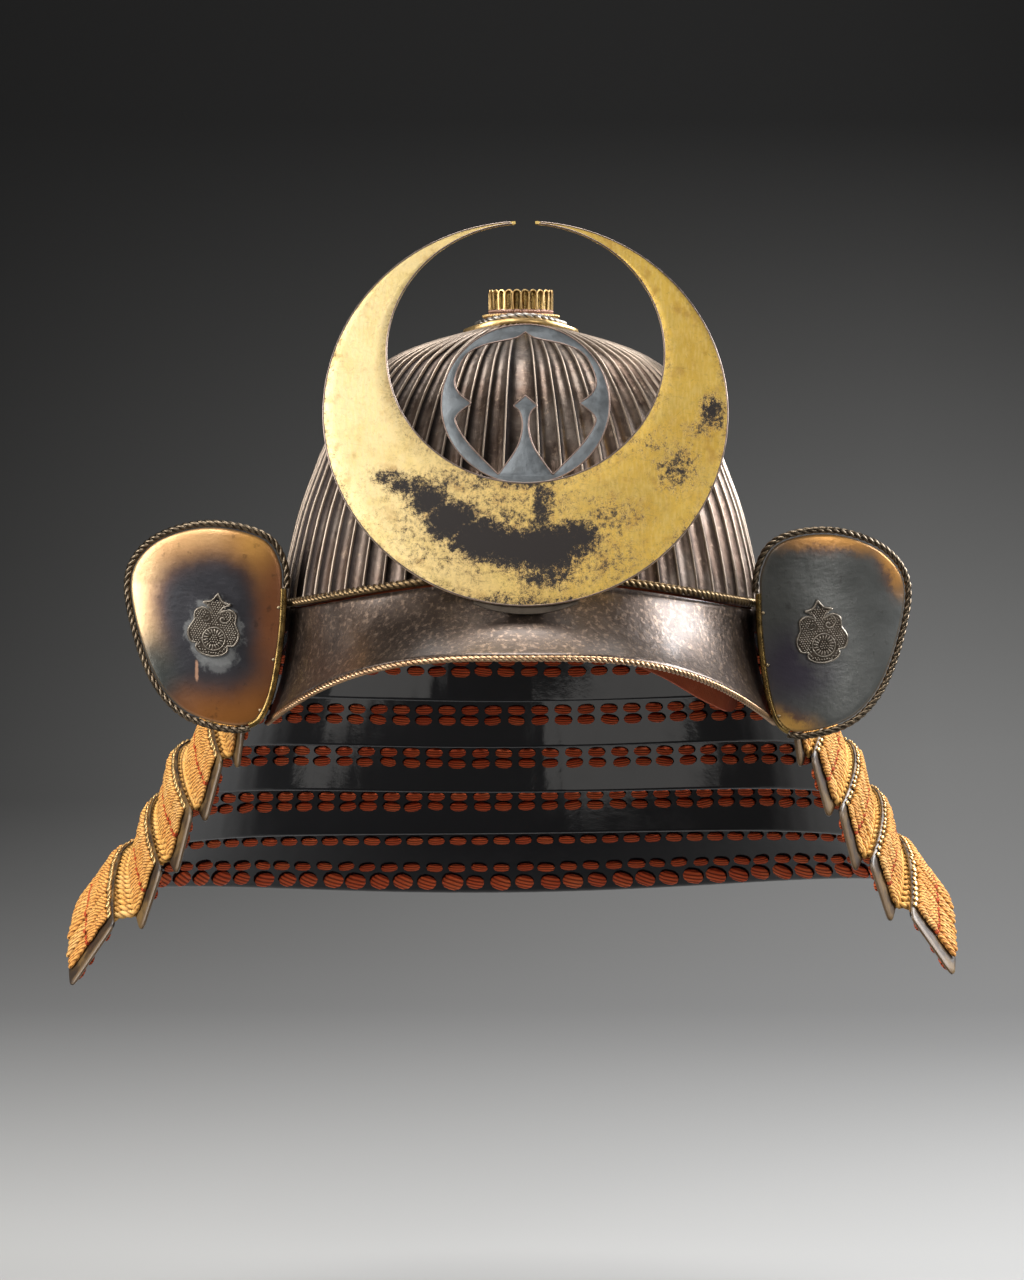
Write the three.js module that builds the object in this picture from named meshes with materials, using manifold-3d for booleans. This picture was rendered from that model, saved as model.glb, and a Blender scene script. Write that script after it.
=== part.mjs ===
// A kabuto: a samurai helmet with a ribbed iron bowl, a visor, turn-backs, a laced neck guard
// of six lames and a gilt crescent crest that lifts out of its bracket.
//
// Millimetres, +Z up, the front faces -Y. The origin is the middle of the bowl's rim, where the
// helmet sits on a head. Lengthwise angles on the bowl and the visor start at the front and run
// towards +X; those on the neck guard start at the back and run to both sides.

import * as THREE from 'three';
import { mergeVertices } from 'three/addons/utils/BufferGeometryUtils.js';
import Module from 'manifold-3d';

const wasm = await Module();
wasm.setup();

const { degToRad, lerp } = THREE.MathUtils;

// ---- Driving dimensions --------------------------------------------------------------------

const GAP = 0.3; // clearance between pieces that touch
const IRON = 2.2; // thickness of visor, base band and lames

// The bowl's plate surface, by height: its half-width at the sides.
const BOWL_PROFILE = [
  { z: -12, half_width: 118.4 },
  { z: 0, half_width: 117.8 },
  { z: 16, half_width: 115.6 },
  { z: 37, half_width: 110.8 },
  { z: 50, half_width: 107.0 },
  { z: 65, half_width: 101.3 },
  { z: 77, half_width: 96.4 },
  { z: 97, half_width: 85.2 },
  { z: 108, half_width: 77.0 },
  { z: 116, half_width: 69.8 },
  { z: 121, half_width: 62.5 },
  { z: 126, half_width: 52.5 },
  { z: 131, half_width: 38.0 },
  { z: 134, half_width: 24.0 },
  { z: 135, half_width: 12.5 },
];
const BOWL_STRETCH = 1.088; // the bowl is this much longer than it is wide
const BOWL_RIDGE = 5; // how much higher the top is in front and behind than at its sides
const BOWL_TOP = 135;
const BOWL_WALL = 3;
const BOWL_LEVELS = [0, 0.28, 0.54, 0.75, 0.88, 0.96, 1]; // from the rim to the hole
const BOWL_INNER_LEVELS = [0, 0.35, 0.68, 0.88, 0.96, 1];
const PLATES = 62;
const FRONT_PLATE = 1.65; // the front plate's width, in widths of the others
const RIB_HEIGHT = 2.3;
const RIB_FOOT = { front: 0.12, back: 0.07 }; // the rib's two slopes, in plate widths

const RIM_BROW = 19.8; // height of the rim over the brow
const RIM_SIDE = -1.7;
const RIM_BACK = -8;
const BROW_POWER = 1.85; // how squarely the brow's arch comes down to the sides

const VISOR_END = 68; // degrees from the front to where the visor ends
const VISOR_LIP = { half_width: 127.5, reach: 163.5, z: -13.2, drop: 46, power: 2.9, end: 72.4 };
const VISOR_HOLLOW = 3; // how far the visor's middle sinks under a straight line
const TOP_ROPE = 2.05; // radii of the twisted trims
const LIP_ROPE = 1.5;
const TURN_BACK_ROPE = 1.55;

const BAND = { start: 74, height: 12 };

const LINING = { wall: 2, half_width: 110.4, hem_brow: -12, hem_side: -42, hem_back: -18 };
const LINING_SAG = { at: 68, width: 34, depth: 13 }; // the hem hangs low at the wearer's left
const LINING_RISE = [
  { share: 1, z: 14 },
  { share: 0.93, z: 44 },
  { share: 0.78, z: 70 },
  { share: 0.5, z: 88 },
  { share: 0.2, z: 95 },
];

// The neck guard. A rail is one edge of a lame: its half-width, how far back it reaches, the
// half-width at its front end, and its height at the front end, the side and the back. A lame
// swings a little to one side on its cords, and leans: it hangs lower on the wearer's right.
const GUARD_FRONT = -55; // where the lames end
const GUARD_WIDEST = 40;
const GUARD_PEAK = 68;
const FLAP_FRONT = -62; // where the top lame turns outward
const LAMES = [
  {
    name: 'neck_lame_1',
    front_y: FLAP_FRONT,
    swing: 0,
    lean: 0,
    top: { half: 123.6, back: 135, front: 115.6, z_front: 4, z_side: -4, z_back: -10 },
    edge: { half: 133, back: 140, front: 128, z_front: -55, z_side: -33, z_back: -40 },
  },
  {
    name: 'neck_lame_2',
    front_y: GUARD_FRONT,
    swing: -1,
    lean: 0.002,
    top: { half: 138.6, back: 145.5, front: 132.6, z_front: -48, z_side: -27, z_back: -34 },
    edge: { half: 150, back: 150, front: 136.6, z_front: -78.7, z_side: -58, z_back: -66.7 },
  },
  {
    name: 'neck_lame_3',
    front_y: GUARD_FRONT,
    swing: -2,
    lean: 0.008,
    top: { half: 155.5, back: 155.5, front: 143.2, z_front: -72.9, z_side: -52, z_back: -60.7 },
    edge: { half: 168, back: 162, front: 151.6, z_front: -104, z_side: -83, z_back: -93.6 },
  },
  {
    name: 'neck_lame_4',
    front_y: GUARD_FRONT,
    swing: -2.5,
    lean: 0.004,
    top: { half: 173.4, back: 167.5, front: 157.4, z_front: -98.5, z_side: -77, z_back: -87.6 },
    edge: { half: 181.5, back: 173.5, front: 165.5, z_front: -130, z_side: -109, z_back: -120.3 },
  },
  {
    name: 'neck_lame_5',
    front_y: GUARD_FRONT,
    swing: -2.5,
    lean: 0.011,
    top: { half: 187.2, back: 179, front: 172.6, z_front: -125.5, z_side: -103, z_back: -114.3 },
    edge: { half: 196, back: 187, front: 183, z_front: -156.5, z_side: -135, z_back: -145.6 },
  },
  {
    name: 'neck_lame_6',
    front_y: GUARD_FRONT,
    swing: -4.3,
    lean: 0.0125,
    top: { half: 202, back: 193, front: 194.4, z_front: -152.5, z_side: -129.5, z_back: -139.6 },
    edge: { half: 225, back: 213, front: 216, z_front: -183.5, z_side: -160, z_back: -183.5 },
  },
];
const LAME_STEPS = 30;
const LACING = 2.6; // thickness of the laced cords on a lame
const LACING_SPAN = { from: 0.06, to: 0.73, last_to: 0.93 }; // down each lame's height
const LACING_TRIM = 0.008; // the bare end of each lame, as a share of its length

// A turn-back's outline, from the point where its rope starts by the visor, over the top.
const FLAP_OUTLINE = [
  { x: 116.4, z: 8 },
  { x: 116.8, z: 21.3 },
  { x: 123, z: 32.3 },
  { x: 139, z: 37.6 },
  { x: 157.5, z: 37 },
  { x: 176.5, z: 29.3 },
  { x: 187.4, z: 15 },
  { x: 186.2, z: -4.7 },
  { x: 177, z: -31.7 },
  { x: 164, z: -48.3 },
  { x: 147, z: -55.8 },
  { x: 131, z: -56.5 },
  { x: 124.8, z: -44 },
  { x: 119.2, z: -16 },
];
const FLAP_STEPS = 28;
const FLAP_RINGS = [0.55, 1];
const FLAP_MIDDLE = { x: 150, z: -4 };
const FLAP_BOW = { forward: 14, back: 30, width: 78 };
// The pair is bent a little askew: out from the fold, both move to one side, and one droops.
const FLAP_SHIFT = { x: -1.6, from: 112, to: 140, lean: -0.011 };
const ROPE_ROUND_FLAP = { from: 0.005, to: 0.752 }; // the share of the outline that is roped

const PLAQUE = { x: 146.5, z: -12, thick: 1.5, turn: -7 };
// Half of a plaque's outline, from its foot up: arcs between its cusps.
const PLAQUE_ARCS = [
  [[0, -12], [4.6, -11.1], [7.6, -7.6]],
  [[7.6, -7.6], [11.2, -4.8], [12, 0.4], [10.6, 5]],
  [[10.6, 5], [10.2, 9], [6.8, 11.6], [3, 10.6]],
  [[3, 10.6], [4, 13], [7.4, 14]],
  [[7.4, 14], [3.2, 15.8], [0, 19.4]],
];

// The fitting round the hole in the top, as rings: middle radius, height, saddle and section.
const HOLE = 11.5;
const FLANGE = { outer: 28, z: 134.4, thick: 1.5, shoulder: 19, shoulder_z: 139.4 };
const CROWN_RINGS = [
  { name: 'crown_rope_ring', radius: 21.3, z: 140.6, saddle: 3, section: 2, sides: 6 },
  { name: 'crown_bead_ring', radius: 17.2, z: 142.6, saddle: 1.2, section: 1.1, sides: 5 },
];
const COLLAR = { radius: 16.1, z: 144, height: 1.4 };
const PETALS = { count: 24, outer: 16.5, ridge: 1.5, z: 145.8, top: 154.8, flare: 0.7 };

// The crest stands on a leaning plane: x across, v up the lean, w towards the wearer.
const CREST_FOOT = { x: 1.8, y: -146, z: 8 };
const CREST_LEAN = 14;
const CRESCENT = {
  outer: { half_width: 93.3, half_height: 90.8, v: 90.8 },
  inner: { half_width: 63.8, half_height: 61.3, v: 119 },
  tip: 4.6,
  thick: 1.6,
};
const OPENWORK = { half_width: 38.7, half_height: 37.6, v: 95, thick: 1.2 };
// Half of the pierced field, from the top cusp down the ring and up the stem to its spade.
const OPENWORK_ARCS = [
  [[0, 34], [5, 31.1], [18.6, 28], [27.5, 22.9], [32.5, 12], [31, 5.4], [25, 0.3]],
  [[25, 0.3], [31.4, -5.1], [31.9, -9.6], [25.8, -19.4], [12.5, -33.4]],
  [[12.5, -33.4], [4.2, -21.1], [1.4, -11.4], [2.5, -4], [5.6, -0.9]],
  [[5.6, -0.9], [2.5, 1.7], [0, 3.9]],
];
const TANG = { width: 16, thick: 2, from: 14, to: 54 };
const BRACKET = { half_width: 24, back_thick: 1.6, foot: -3.2, top: 30, socket_wall: 1.8 };

// ---- Making solids -------------------------------------------------------------------------

function triangles(points, faces) {
  const geometry = new THREE.BufferGeometry();
  geometry.setAttribute('position', new THREE.Float32BufferAttribute(points.flat(), 3));
  geometry.setIndex(faces.flat());
  return geometry;
}

function bare(geometry) {
  const copy = geometry.clone();
  for (const name of Object.keys(copy.attributes)) {
    if (name !== 'position') copy.deleteAttribute(name);
  }
  return mergeVertices(copy, 1e-3);
}

function volume(geometry) {
  const { position } = geometry.attributes;
  const corner = [0, 1, 2].map(() => new THREE.Vector3());
  let sum = 0;
  for (let i = 0; i < geometry.index.count; i += 3) {
    corner.forEach((v, k) => v.fromBufferAttribute(position, geometry.index.getX(i + k)));
    sum += corner[0].dot(corner[1].cross(corner[2]));
  }
  return sum / 6;
}

// Turns a closed surface right side out.
function outward(geometry) {
  const solid = bare(geometry);
  if (volume(solid) < 0) {
    const index = solid.index.array;
    for (let i = 0; i < index.length; i += 3) [index[i], index[i + 1]] = [index[i + 1], index[i]];
  }
  return solid;
}

function toManifold(geometry) {
  const solid = outward(geometry);
  return new wasm.Manifold(new wasm.Mesh({
    numProp: 3,
    vertProperties: new Float32Array(solid.attributes.position.array),
    triVerts: new Uint32Array(solid.index.array),
  }));
}

function fromManifold(manifold) {
  const mesh = manifold.getMesh();
  const geometry = new THREE.BufferGeometry();
  geometry.setAttribute('position', new THREE.BufferAttribute(mesh.vertProperties, 3));
  geometry.setIndex(new THREE.BufferAttribute(mesh.triVerts, 1));
  return geometry;
}

function joined(...geometries) {
  return fromManifold(geometries.map(toManifold).reduce((a, b) => a.add(b)));
}

function cut(body, ...tools) {
  return fromManifold(tools.map(toManifold).reduce((a, b) => a.subtract(b), toManifold(body)));
}

// A strip of quads between two rows of point numbers.
function strip(rowA, rowB, loop) {
  const faces = [];
  const last = loop ? rowA.length : rowA.length - 1;
  for (let i = 0; i < last; i++) {
    const j = (i + 1) % rowA.length;
    faces.push([rowA[i], rowB[i], rowB[j]], [rowA[i], rowB[j], rowA[j]]);
  }
  return faces;
}

// A thin wall from two grids of points with the same rows and columns. A looped wall closes on
// itself sideways.
function wall(outer, inner, loop = false) {
  const points = [...outer.flat(), ...inner.flat()];
  const width = outer[0].length;
  const row = (i, side) => outer[0].map((_, j) => (side * outer.length + i) * width + j);
  const faces = [];
  for (let i = 0; i + 1 < outer.length; i++) {
    faces.push(...strip(row(i, 0), row(i + 1, 0), loop));
    faces.push(...strip(row(i + 1, 1), row(i, 1), loop));
  }
  const end = outer.length - 1;
  faces.push(...strip(row(0, 1), row(0, 0), loop), ...strip(row(end, 0), row(end, 1), loop));
  if (!loop) {
    const column = (j, side) => outer.map((_, i) => (side * outer.length + i) * width + j);
    faces.push(...strip(column(0, 0), column(0, 1)));
    faces.push(...strip(column(width - 1, 1), column(width - 1, 0)));
  }
  return outward(triangles(points, faces));
}

// A wall of even thickness on a grid of points, grown to both sides of it. The grid's normal is
// the cross product of its two directions.
function sheet(grid, below, above, loop = false) {
  const at = (i, j) => {
    const rows = grid.length;
    const width = grid[0].length;
    const column = loop ? (j + width) % width : Math.min(Math.max(j, 0), width - 1);
    return new THREE.Vector3(...grid[Math.min(Math.max(i, 0), rows - 1)][column]);
  };
  const shifted = (offset) => grid.map((row, i) => row.map((_, j) => {
    const down = at(i + 1, j).sub(at(i - 1, j));
    const along = at(i, j + 1).sub(at(i, j - 1));
    return at(i, j).addScaledVector(down.cross(along).normalize(), offset).toArray();
  }));
  return wall(shifted(above), shifted(-below), loop);
}

// A ring from a closed section, swept round the helmet's axis. Each point of the section has a
// radius, a height and a saddle: how much higher it is in front and behind than at the sides.
function saddleRing(section, steps) {
  const points = [];
  const faces = [];
  for (let j = 0; j < steps; j++) {
    const angle = (2 * Math.PI * j) / steps;
    for (const { r, z, saddle } of section) {
      const height = z + saddle * Math.cos(angle) ** 2;
      points.push([r * Math.sin(angle), -r * Math.cos(angle), height]);
    }
  }
  const n = section.length;
  const station = (j) => section.map((_, k) => (j % steps) * n + k);
  for (let j = 0; j < steps; j++) faces.push(...strip(station(j), station(j + 1), true));
  return outward(triangles(points, faces));
}

function tube(curve, radius, steps, sides = 6) {
  const circle = new THREE.Shape();
  for (let k = 0; k < sides; k++) {
    const angle = (2 * Math.PI * k) / sides;
    const corner = [radius * Math.cos(angle), radius * Math.sin(angle)];
    if (k === 0) circle.moveTo(...corner);
    else circle.lineTo(...corner);
  }
  return new THREE.ExtrudeGeometry(circle, { steps, extrudePath: curve, curveSegments: 1 });
}

// A shape that is the same on both sides, from arcs that run from its middle line to its
// middle line.
function mirroredShape(arcs, divisions, middle = 0) {
  const half = arcs.flatMap((arc) => {
    const curve = new THREE.SplineCurve(arc.map(([x, y]) => new THREE.Vector2(x, y)));
    return curve.getPoints(divisions * (arc.length - 1)).slice(0, -1);
  });
  const end = arcs.at(-1).at(-1);
  const right = [...half, new THREE.Vector2(...end)];
  const left = right.slice(1, -1).reverse().map((p) => new THREE.Vector2(-p.x, p.y));
  return [...right, ...left].map((p) => new THREE.Vector2(p.x, p.y + middle));
}

// ---- The bowl ------------------------------------------------------------------------------

function bowlHalfWidth(z) {
  const above = BOWL_PROFILE.findIndex((row) => row.z >= z);
  const upper = BOWL_PROFILE[above < 0 ? BOWL_PROFILE.length - 1 : Math.max(above, 1)];
  const lower = BOWL_PROFILE[BOWL_PROFILE.indexOf(upper) - 1];
  return lerp(lower.half_width, upper.half_width, (z - lower.z) / (upper.z - lower.z));
}

function rimHeight(angle) {
  const side = Math.abs(Math.sin(angle));
  if (Math.cos(angle) > 0) return RIM_BROW - (RIM_BROW - RIM_SIDE) * side ** BROW_POWER;
  return RIM_SIDE + (RIM_BACK - RIM_SIDE) * Math.cos(angle) ** 2;
}

// A point on the bowl: the angle from the front, the level from rim to top, and how far out of
// the plates' surface it is.
function onBowl(angle, level, out) {
  const z = lerp(rimHeight(angle), BOWL_TOP, level);
  const slope = (bowlHalfWidth(z + 1) - bowlHalfWidth(z - 1)) / 2;
  const normal = new THREE.Vector2(1, -slope).normalize();
  const radius = bowlHalfWidth(z);
  const across = radius + normal.x * out;
  const height = z + normal.y * out + ridgeLift(z, radius) * Math.cos(angle) ** 2;
  return [across * Math.sin(angle), -across * BOWL_STRETCH * Math.cos(angle), height];
}

function ridgeLift(z, radius) {
  return BOWL_RIDGE * (Math.max(z, 0) / BOWL_TOP) ** 2 * Math.min(1, radius / FLANGE.outer);
}

function plateEdges() {
  const unit = (2 * Math.PI) / (PLATES - 1 + FRONT_PLATE);
  return Array.from({ length: PLATES }, (_, k) => ({ angle: unit * (FRONT_PLATE / 2 + k), unit }));
}

function bowl() {
  const edges = plateEdges();
  const columns = edges.flatMap(({ angle, unit }) => {
    const ahead = angle < Math.PI ? RIB_FOOT.front : RIB_FOOT.back;
    const behind = angle < Math.PI ? RIB_FOOT.back : RIB_FOOT.front;
    return [
      { angle: angle - ahead * unit, out: 0 },
      { angle, out: RIB_HEIGHT },
      { angle: angle + behind * unit, out: 0 },
    ];
  });
  const ribFade = (level) => Math.min(1, (1.06 - level) / 0.35);
  const outer = BOWL_LEVELS.map((level) => columns.map(({ angle, out }) => (
    onBowl(angle, level, out * ribFade(level)))));
  const inner = BOWL_INNER_LEVELS.map((level) => edges.map(({ angle }) => (
    onBowl(angle, level, -BOWL_WALL))));
  const points = [...outer.flat(), ...inner.flat()];
  const outerRow = (i) => columns.map((_, j) => i * columns.length + j);
  const innerRow = (i) => edges.map((_, j) => outer.length * columns.length + i * PLATES + j);
  const faces = [];
  for (let i = 0; i + 1 < outer.length; i++) {
    faces.push(...strip(outerRow(i), outerRow(i + 1), true));
  }
  for (let i = 0; i + 1 < inner.length; i++) {
    faces.push(...strip(innerRow(i + 1), innerRow(i), true));
  }
  // The rim and the hole's edge join three outer points to each inner one.
  const lip = (outerIds, innerIds, up) => innerIds.forEach((a, k) => {
    const b = innerIds[(k + 1) % PLATES];
    const c = [1, 2, 3, 4].map((n) => outerIds[(3 * k + n) % outerIds.length]);
    const fan = [[a, c[0], c[1]], [a, c[1], c[2]], [a, c[2], b], [b, c[2], c[3]]];
    faces.push(...fan.map((face) => (up ? face.reverse() : face)));
  });
  lip(outerRow(0), innerRow(0), false);
  lip(outerRow(outer.length - 1), innerRow(inner.length - 1), true);
  return outward(triangles(points, faces));
}

function baseBand() {
  const start = degToRad(BAND.start);
  const steps = 32;
  const at = (j, depth) => {
    const angle = lerp(start, 2 * Math.PI - start, j / steps);
    const rim = rimHeight(angle) - GAP;
    const radius = bowlHalfWidth(rim) - 0.2;
    const flare = depth * 1.2;
    return [
      (radius + flare) * Math.sin(angle),
      -(radius + flare) * BOWL_STRETCH * Math.cos(angle),
      rim - depth * BAND.height,
    ];
  };
  const grid = [0, 1].map((depth) => Array.from({ length: steps + 1 }, (_, j) => at(j, depth)));
  return sheet(grid, IRON, 0);
}

function lining() {
  const steps = 24;
  const hem = (angle) => {
    const front = Math.max(Math.cos(angle), 0);
    const edge = Math.cos(angle) > 0
      ? lerp(LINING.hem_side, LINING.hem_brow, front ** 2)
      : lerp(LINING.hem_side, LINING.hem_back, Math.cos(angle) ** 2);
    const off = (angle - degToRad(LINING_SAG.at)) / degToRad(LINING_SAG.width);
    return edge - LINING_SAG.depth * Math.exp(-off * off);
  };
  const grid = (inset) => [null, ...LINING_RISE].map((row) => (
    Array.from({ length: steps }, (_, j) => {
      const angle = (2 * Math.PI * j) / steps;
      const radius = LINING.half_width * (row ? row.share : 0.985) - inset;
      const z = row ? row.z - inset * (1 - row.share ** 2) : hem(angle);
      return [radius * Math.sin(angle), -radius * BOWL_STRETCH * Math.cos(angle), z];
    })));
  return capped(grid(0), grid(LINING.wall), 96, 96 - LINING.wall);
}

// A looped wall whose last rows close on a point each, like a cap.
function capped(outer, inner, outerTop, innerTop) {
  const width = outer[0].length;
  const points = [...outer.flat(), ...inner.flat(), [0, 0, outerTop], [0, 0, innerTop]];
  const row = (i, side) => outer[0].map((_, j) => (side * outer.length + i) * width + j);
  const faces = strip(row(0, 1), row(0, 0), true);
  for (let i = 0; i + 1 < outer.length; i++) {
    faces.push(...strip(row(i, 0), row(i + 1, 0), true));
    faces.push(...strip(row(i + 1, 1), row(i, 1), true));
  }
  const end = outer.length - 1;
  for (let j = 0; j < width; j++) {
    const next = (j + 1) % width;
    faces.push([row(end, 0)[j], points.length - 2, row(end, 0)[next]]);
    faces.push([row(end, 1)[next], points.length - 1, row(end, 1)[j]]);
  }
  return outward(triangles(points, faces));
}

// ---- The visor -----------------------------------------------------------------------------

// A point of the visor: across from -1 to 1, and down from the bowl's rim to the lip.
function onVisor(across, down) {
  const root = degToRad(VISOR_END) * across;
  const rim = rimHeight(root);
  const radius = bowlHalfWidth(rim) + 1.6;
  const top = new THREE.Vector3(
    radius * Math.sin(root),
    -radius * BOWL_STRETCH * Math.cos(root),
    rim - 1.8,
  );
  const end = degToRad(VISOR_LIP.end) * across;
  const lip = new THREE.Vector3(
    VISOR_LIP.half_width * Math.sin(end),
    -VISOR_LIP.reach * Math.cos(end),
    VISOR_LIP.z - VISOR_LIP.drop * Math.abs(Math.sin(end)) ** VISOR_LIP.power,
  );
  const point = top.lerp(lip, down);
  const sink = VISOR_HOLLOW * 4 * down * (1 - down);
  const inward = new THREE.Vector3(-Math.sin(end), Math.cos(end), -0.7).normalize();
  return point.addScaledVector(inward, sink);
}

function visor() {
  const steps = 22;
  const grid = [0, 0.5, 1].map((down) => Array.from({ length: steps + 1 }, (_, j) => (
    onVisor(lerp(-1, 1, j / steps), down).toArray())));
  return sheet(grid, IRON / 2, IRON / 2);
}

function topRope() {
  const points = Array.from({ length: 13 }, (_, j) => {
    const angle = degToRad(VISOR_END) * lerp(-1, 1, j / 12);
    const rim = rimHeight(angle);
    const out = bowlHalfWidth(rim) + RIB_HEIGHT + TOP_ROPE + GAP;
    return new THREE.Vector3(
      out * Math.sin(angle),
      -(out + 1) * BOWL_STRETCH * Math.cos(angle),
      rim + 1.5,
    );
  });
  return tube(new THREE.CatmullRomCurve3(points), TOP_ROPE, 24);
}

function lipRope() {
  const points = Array.from({ length: 15 }, (_, j) => {
    const across = lerp(-1, 1, j / 14);
    const lip = onVisor(across, 1);
    const run = lip.clone().sub(onVisor(across, 0.96)).normalize();
    return lip.addScaledVector(run, LIP_ROPE + GAP + 0.1);
  });
  return tube(new THREE.CatmullRomCurve3(points), LIP_ROPE, 26);
}

// ---- The neck guard ------------------------------------------------------------------------

// One edge of a lame, from one front end round the back to the other.
class Rail extends THREE.Curve {
  constructor(rail, { front_y: frontY, swing, lean }) {
    super();
    Object.assign(this, { rail, frontY, swing, lean });
  }

  getPoint(t) {
    const { rail, frontY, swing, lean } = this;
    const ahead = GUARD_WIDEST - frontY;
    const depth = ahead / Math.sqrt(1 - (rail.front / rail.half) ** 2);
    const along = 2 * t - 1;
    const angle = Math.abs(along) * (Math.PI / 2 + Math.asin(ahead / depth));
    const reach = angle < Math.PI / 2 ? rail.back - GUARD_WIDEST : depth;
    const x = Math.sign(along) * rail.half * Math.sin(angle);
    const y = GUARD_WIDEST + reach * Math.cos(angle);
    const rest = y > GUARD_PEAK ? rail.z_back : rail.z_front;
    const span = y > GUARD_PEAK ? rail.back - GUARD_PEAK : GUARD_PEAK - frontY;
    const z = lerp(rail.z_side, rest, ((y - GUARD_PEAK) / span) ** 2);
    return new THREE.Vector3(x + swing, y, z + lean * x);
  }
}

// Rows of points down a lame, evenly spaced along it; trim keeps them clear of its ends.
function lameGrid(lame, downs, trim = 0) {
  const top = new Rail(lame.top, lame);
  const edge = new Rail(lame.edge, lame);
  return downs.map((down) => Array.from({ length: LAME_STEPS + 1 }, (_, j) => {
    const share = THREE.MathUtils.clamp(j / LAME_STEPS, trim, 1 - trim);
    return top.getPointAt(share).lerp(edge.getPointAt(share), down).toArray();
  }));
}

function lamePlate(lame) {
  return sheet(lameGrid(lame, [0, 1]), IRON / 2, IRON / 2);
}

function lacing(lame, isLast) {
  const { from, to, last_to: lastTo } = LACING_SPAN;
  const grid = lameGrid(lame, [from, isLast ? lastTo : to], LACING_TRIM);
  const rise = IRON / 2 + 3 * GAP;
  return sheet(grid, rise + LACING, -rise);
}

// ---- The turn-backs ------------------------------------------------------------------------

const flapOutline = new THREE.CatmullRomCurve3(
  FLAP_OUTLINE.map(({ x, z }) => new THREE.Vector3(x, 0, z)),
  true,
);

// The flap's outline is drawn flat; this bows it forward and then sweeps it back.
function bowed(x, z) {
  const inner = 113 + Math.max(0, 10 - z) * 0.2;
  const u = (x - inner) / FLAP_BOW.width;
  return FLAP_FRONT - FLAP_BOW.forward * u + FLAP_BOW.back * u * u;
}

// A point of a turn-back where it hangs: the side is 1 at the wearer's left and -1 at the right.
function onFlap(side, x, z, depth) {
  const shift = FLAP_SHIFT.x * THREE.MathUtils.smoothstep(x, FLAP_SHIFT.from, FLAP_SHIFT.to);
  return [side * x + shift, bowed(x, z) + depth, z + side * x * FLAP_SHIFT.lean];
}

function flap(side) {
  const rim = flapOutline.getSpacedPoints(FLAP_STEPS).slice(0, -1);
  const middle = new THREE.Vector3(FLAP_MIDDLE.x, 0, FLAP_MIDDLE.z);
  const points = [];
  for (const face of [0, 1]) {
    const spots = [middle, ...FLAP_RINGS.flatMap((share) => (
      rim.map((p) => middle.clone().lerp(p, share))))];
    points.push(...spots.map((p) => onFlap(side, p.x, p.z, face * IRON)));
  }
  const base = points.length / 2;
  const ring = (face, r) => rim.map((_, k) => face * base + 1 + r * rim.length + k);
  const faces = [];
  for (const face of [0, 1]) {
    const turn = (list) => (face ? list.map((f) => [...f].reverse()) : list);
    const fan = rim.map((_, k) => [
      face * base,
      ring(face, 0)[k],
      ring(face, 0)[(k + 1) % rim.length],
    ]);
    faces.push(...turn(fan));
    for (let r = 0; r + 1 < FLAP_RINGS.length; r++) {
      faces.push(...turn(strip(ring(face, r), ring(face, r + 1), true)));
    }
  }
  const last = FLAP_RINGS.length - 1;
  faces.push(...strip(ring(0, last), ring(1, last), true));
  return outward(triangles(points, faces));
}

function flapRope(side) {
  const { from, to } = ROPE_ROUND_FLAP;
  const last = 23;
  const points = Array.from({ length: last + 1 }, (_, k) => {
    const share = lerp(from, to, k / last);
    const edge = flapOutline.getPointAt(share);
    const run = flapOutline.getTangentAt(share);
    const out = TURN_BACK_ROPE + 2 * GAP;
    const spot = { x: edge.x - run.z * out, z: edge.z + run.x * out };
    return new THREE.Vector3(...onFlap(side, spot.x, spot.z, IRON / 2));
  });
  return tube(new THREE.CatmullRomCurve3(points), TURN_BACK_ROPE, 30);
}

function plaque() {
  const shape = new THREE.Shape(mirroredShape(PLAQUE_ARCS, 2));
  return outward(new THREE.ExtrudeGeometry(shape, {
    depth: PLAQUE.thick,
    bevelEnabled: false,
  }));
}

// ---- The fitting on top of the bowl --------------------------------------------------------

function flange() {
  const heightAt = (r) => {
    const upper = BOWL_PROFILE.find((row) => row.half_width <= r) ?? BOWL_PROFILE.at(-1);
    const lower = BOWL_PROFILE[BOWL_PROFILE.indexOf(upper) - 1];
    const share = (lower.half_width - r) / (lower.half_width - upper.half_width);
    return lerp(lower.z, upper.z, Math.min(share, 1));
  };
  const under = (r) => {
    const side = heightAt(r);
    const front = heightAt(r / BOWL_STRETCH);
    return { z: side + 2.5 * GAP, saddle: front + ridgeLift(front, r / BOWL_STRETCH) - side };
  };
  const mid = 0.5 * (HOLE + FLANGE.outer);
  return saddleRing([
    { r: HOLE, ...under(HOLE) },
    { r: mid, ...under(mid) },
    { r: FLANGE.outer, ...under(FLANGE.outer) },
    { r: FLANGE.outer, z: FLANGE.z + FLANGE.thick, saddle: BOWL_RIDGE },
    { r: FLANGE.shoulder, z: FLANGE.shoulder_z - 1, saddle: 2.2 },
    { r: HOLE, z: FLANGE.shoulder_z + 0.4, saddle: 1 },
  ], 30);
}

function crownRing({ radius, z, saddle, section, sides }) {
  return saddleRing(Array.from({ length: sides }, (_, k) => {
    const angle = (2 * Math.PI * k) / sides;
    return {
      r: radius + section * Math.cos(angle),
      z: z + section * Math.sin(angle),
      saddle,
    };
  }), 24);
}

function collar() {
  const { radius, z, height } = COLLAR;
  return saddleRing([
    { r: HOLE, z: z - 3, saddle: 0 },
    { r: HOLE + 2.6, z: z - 3, saddle: 0 },
    { r: HOLE + 2.8, z, saddle: 0 },
    { r: radius, z, saddle: 0 },
    { r: radius, z: z + height, saddle: 0 },
    { r: HOLE, z: z + height, saddle: 0 },
  ], 24);
}

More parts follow.
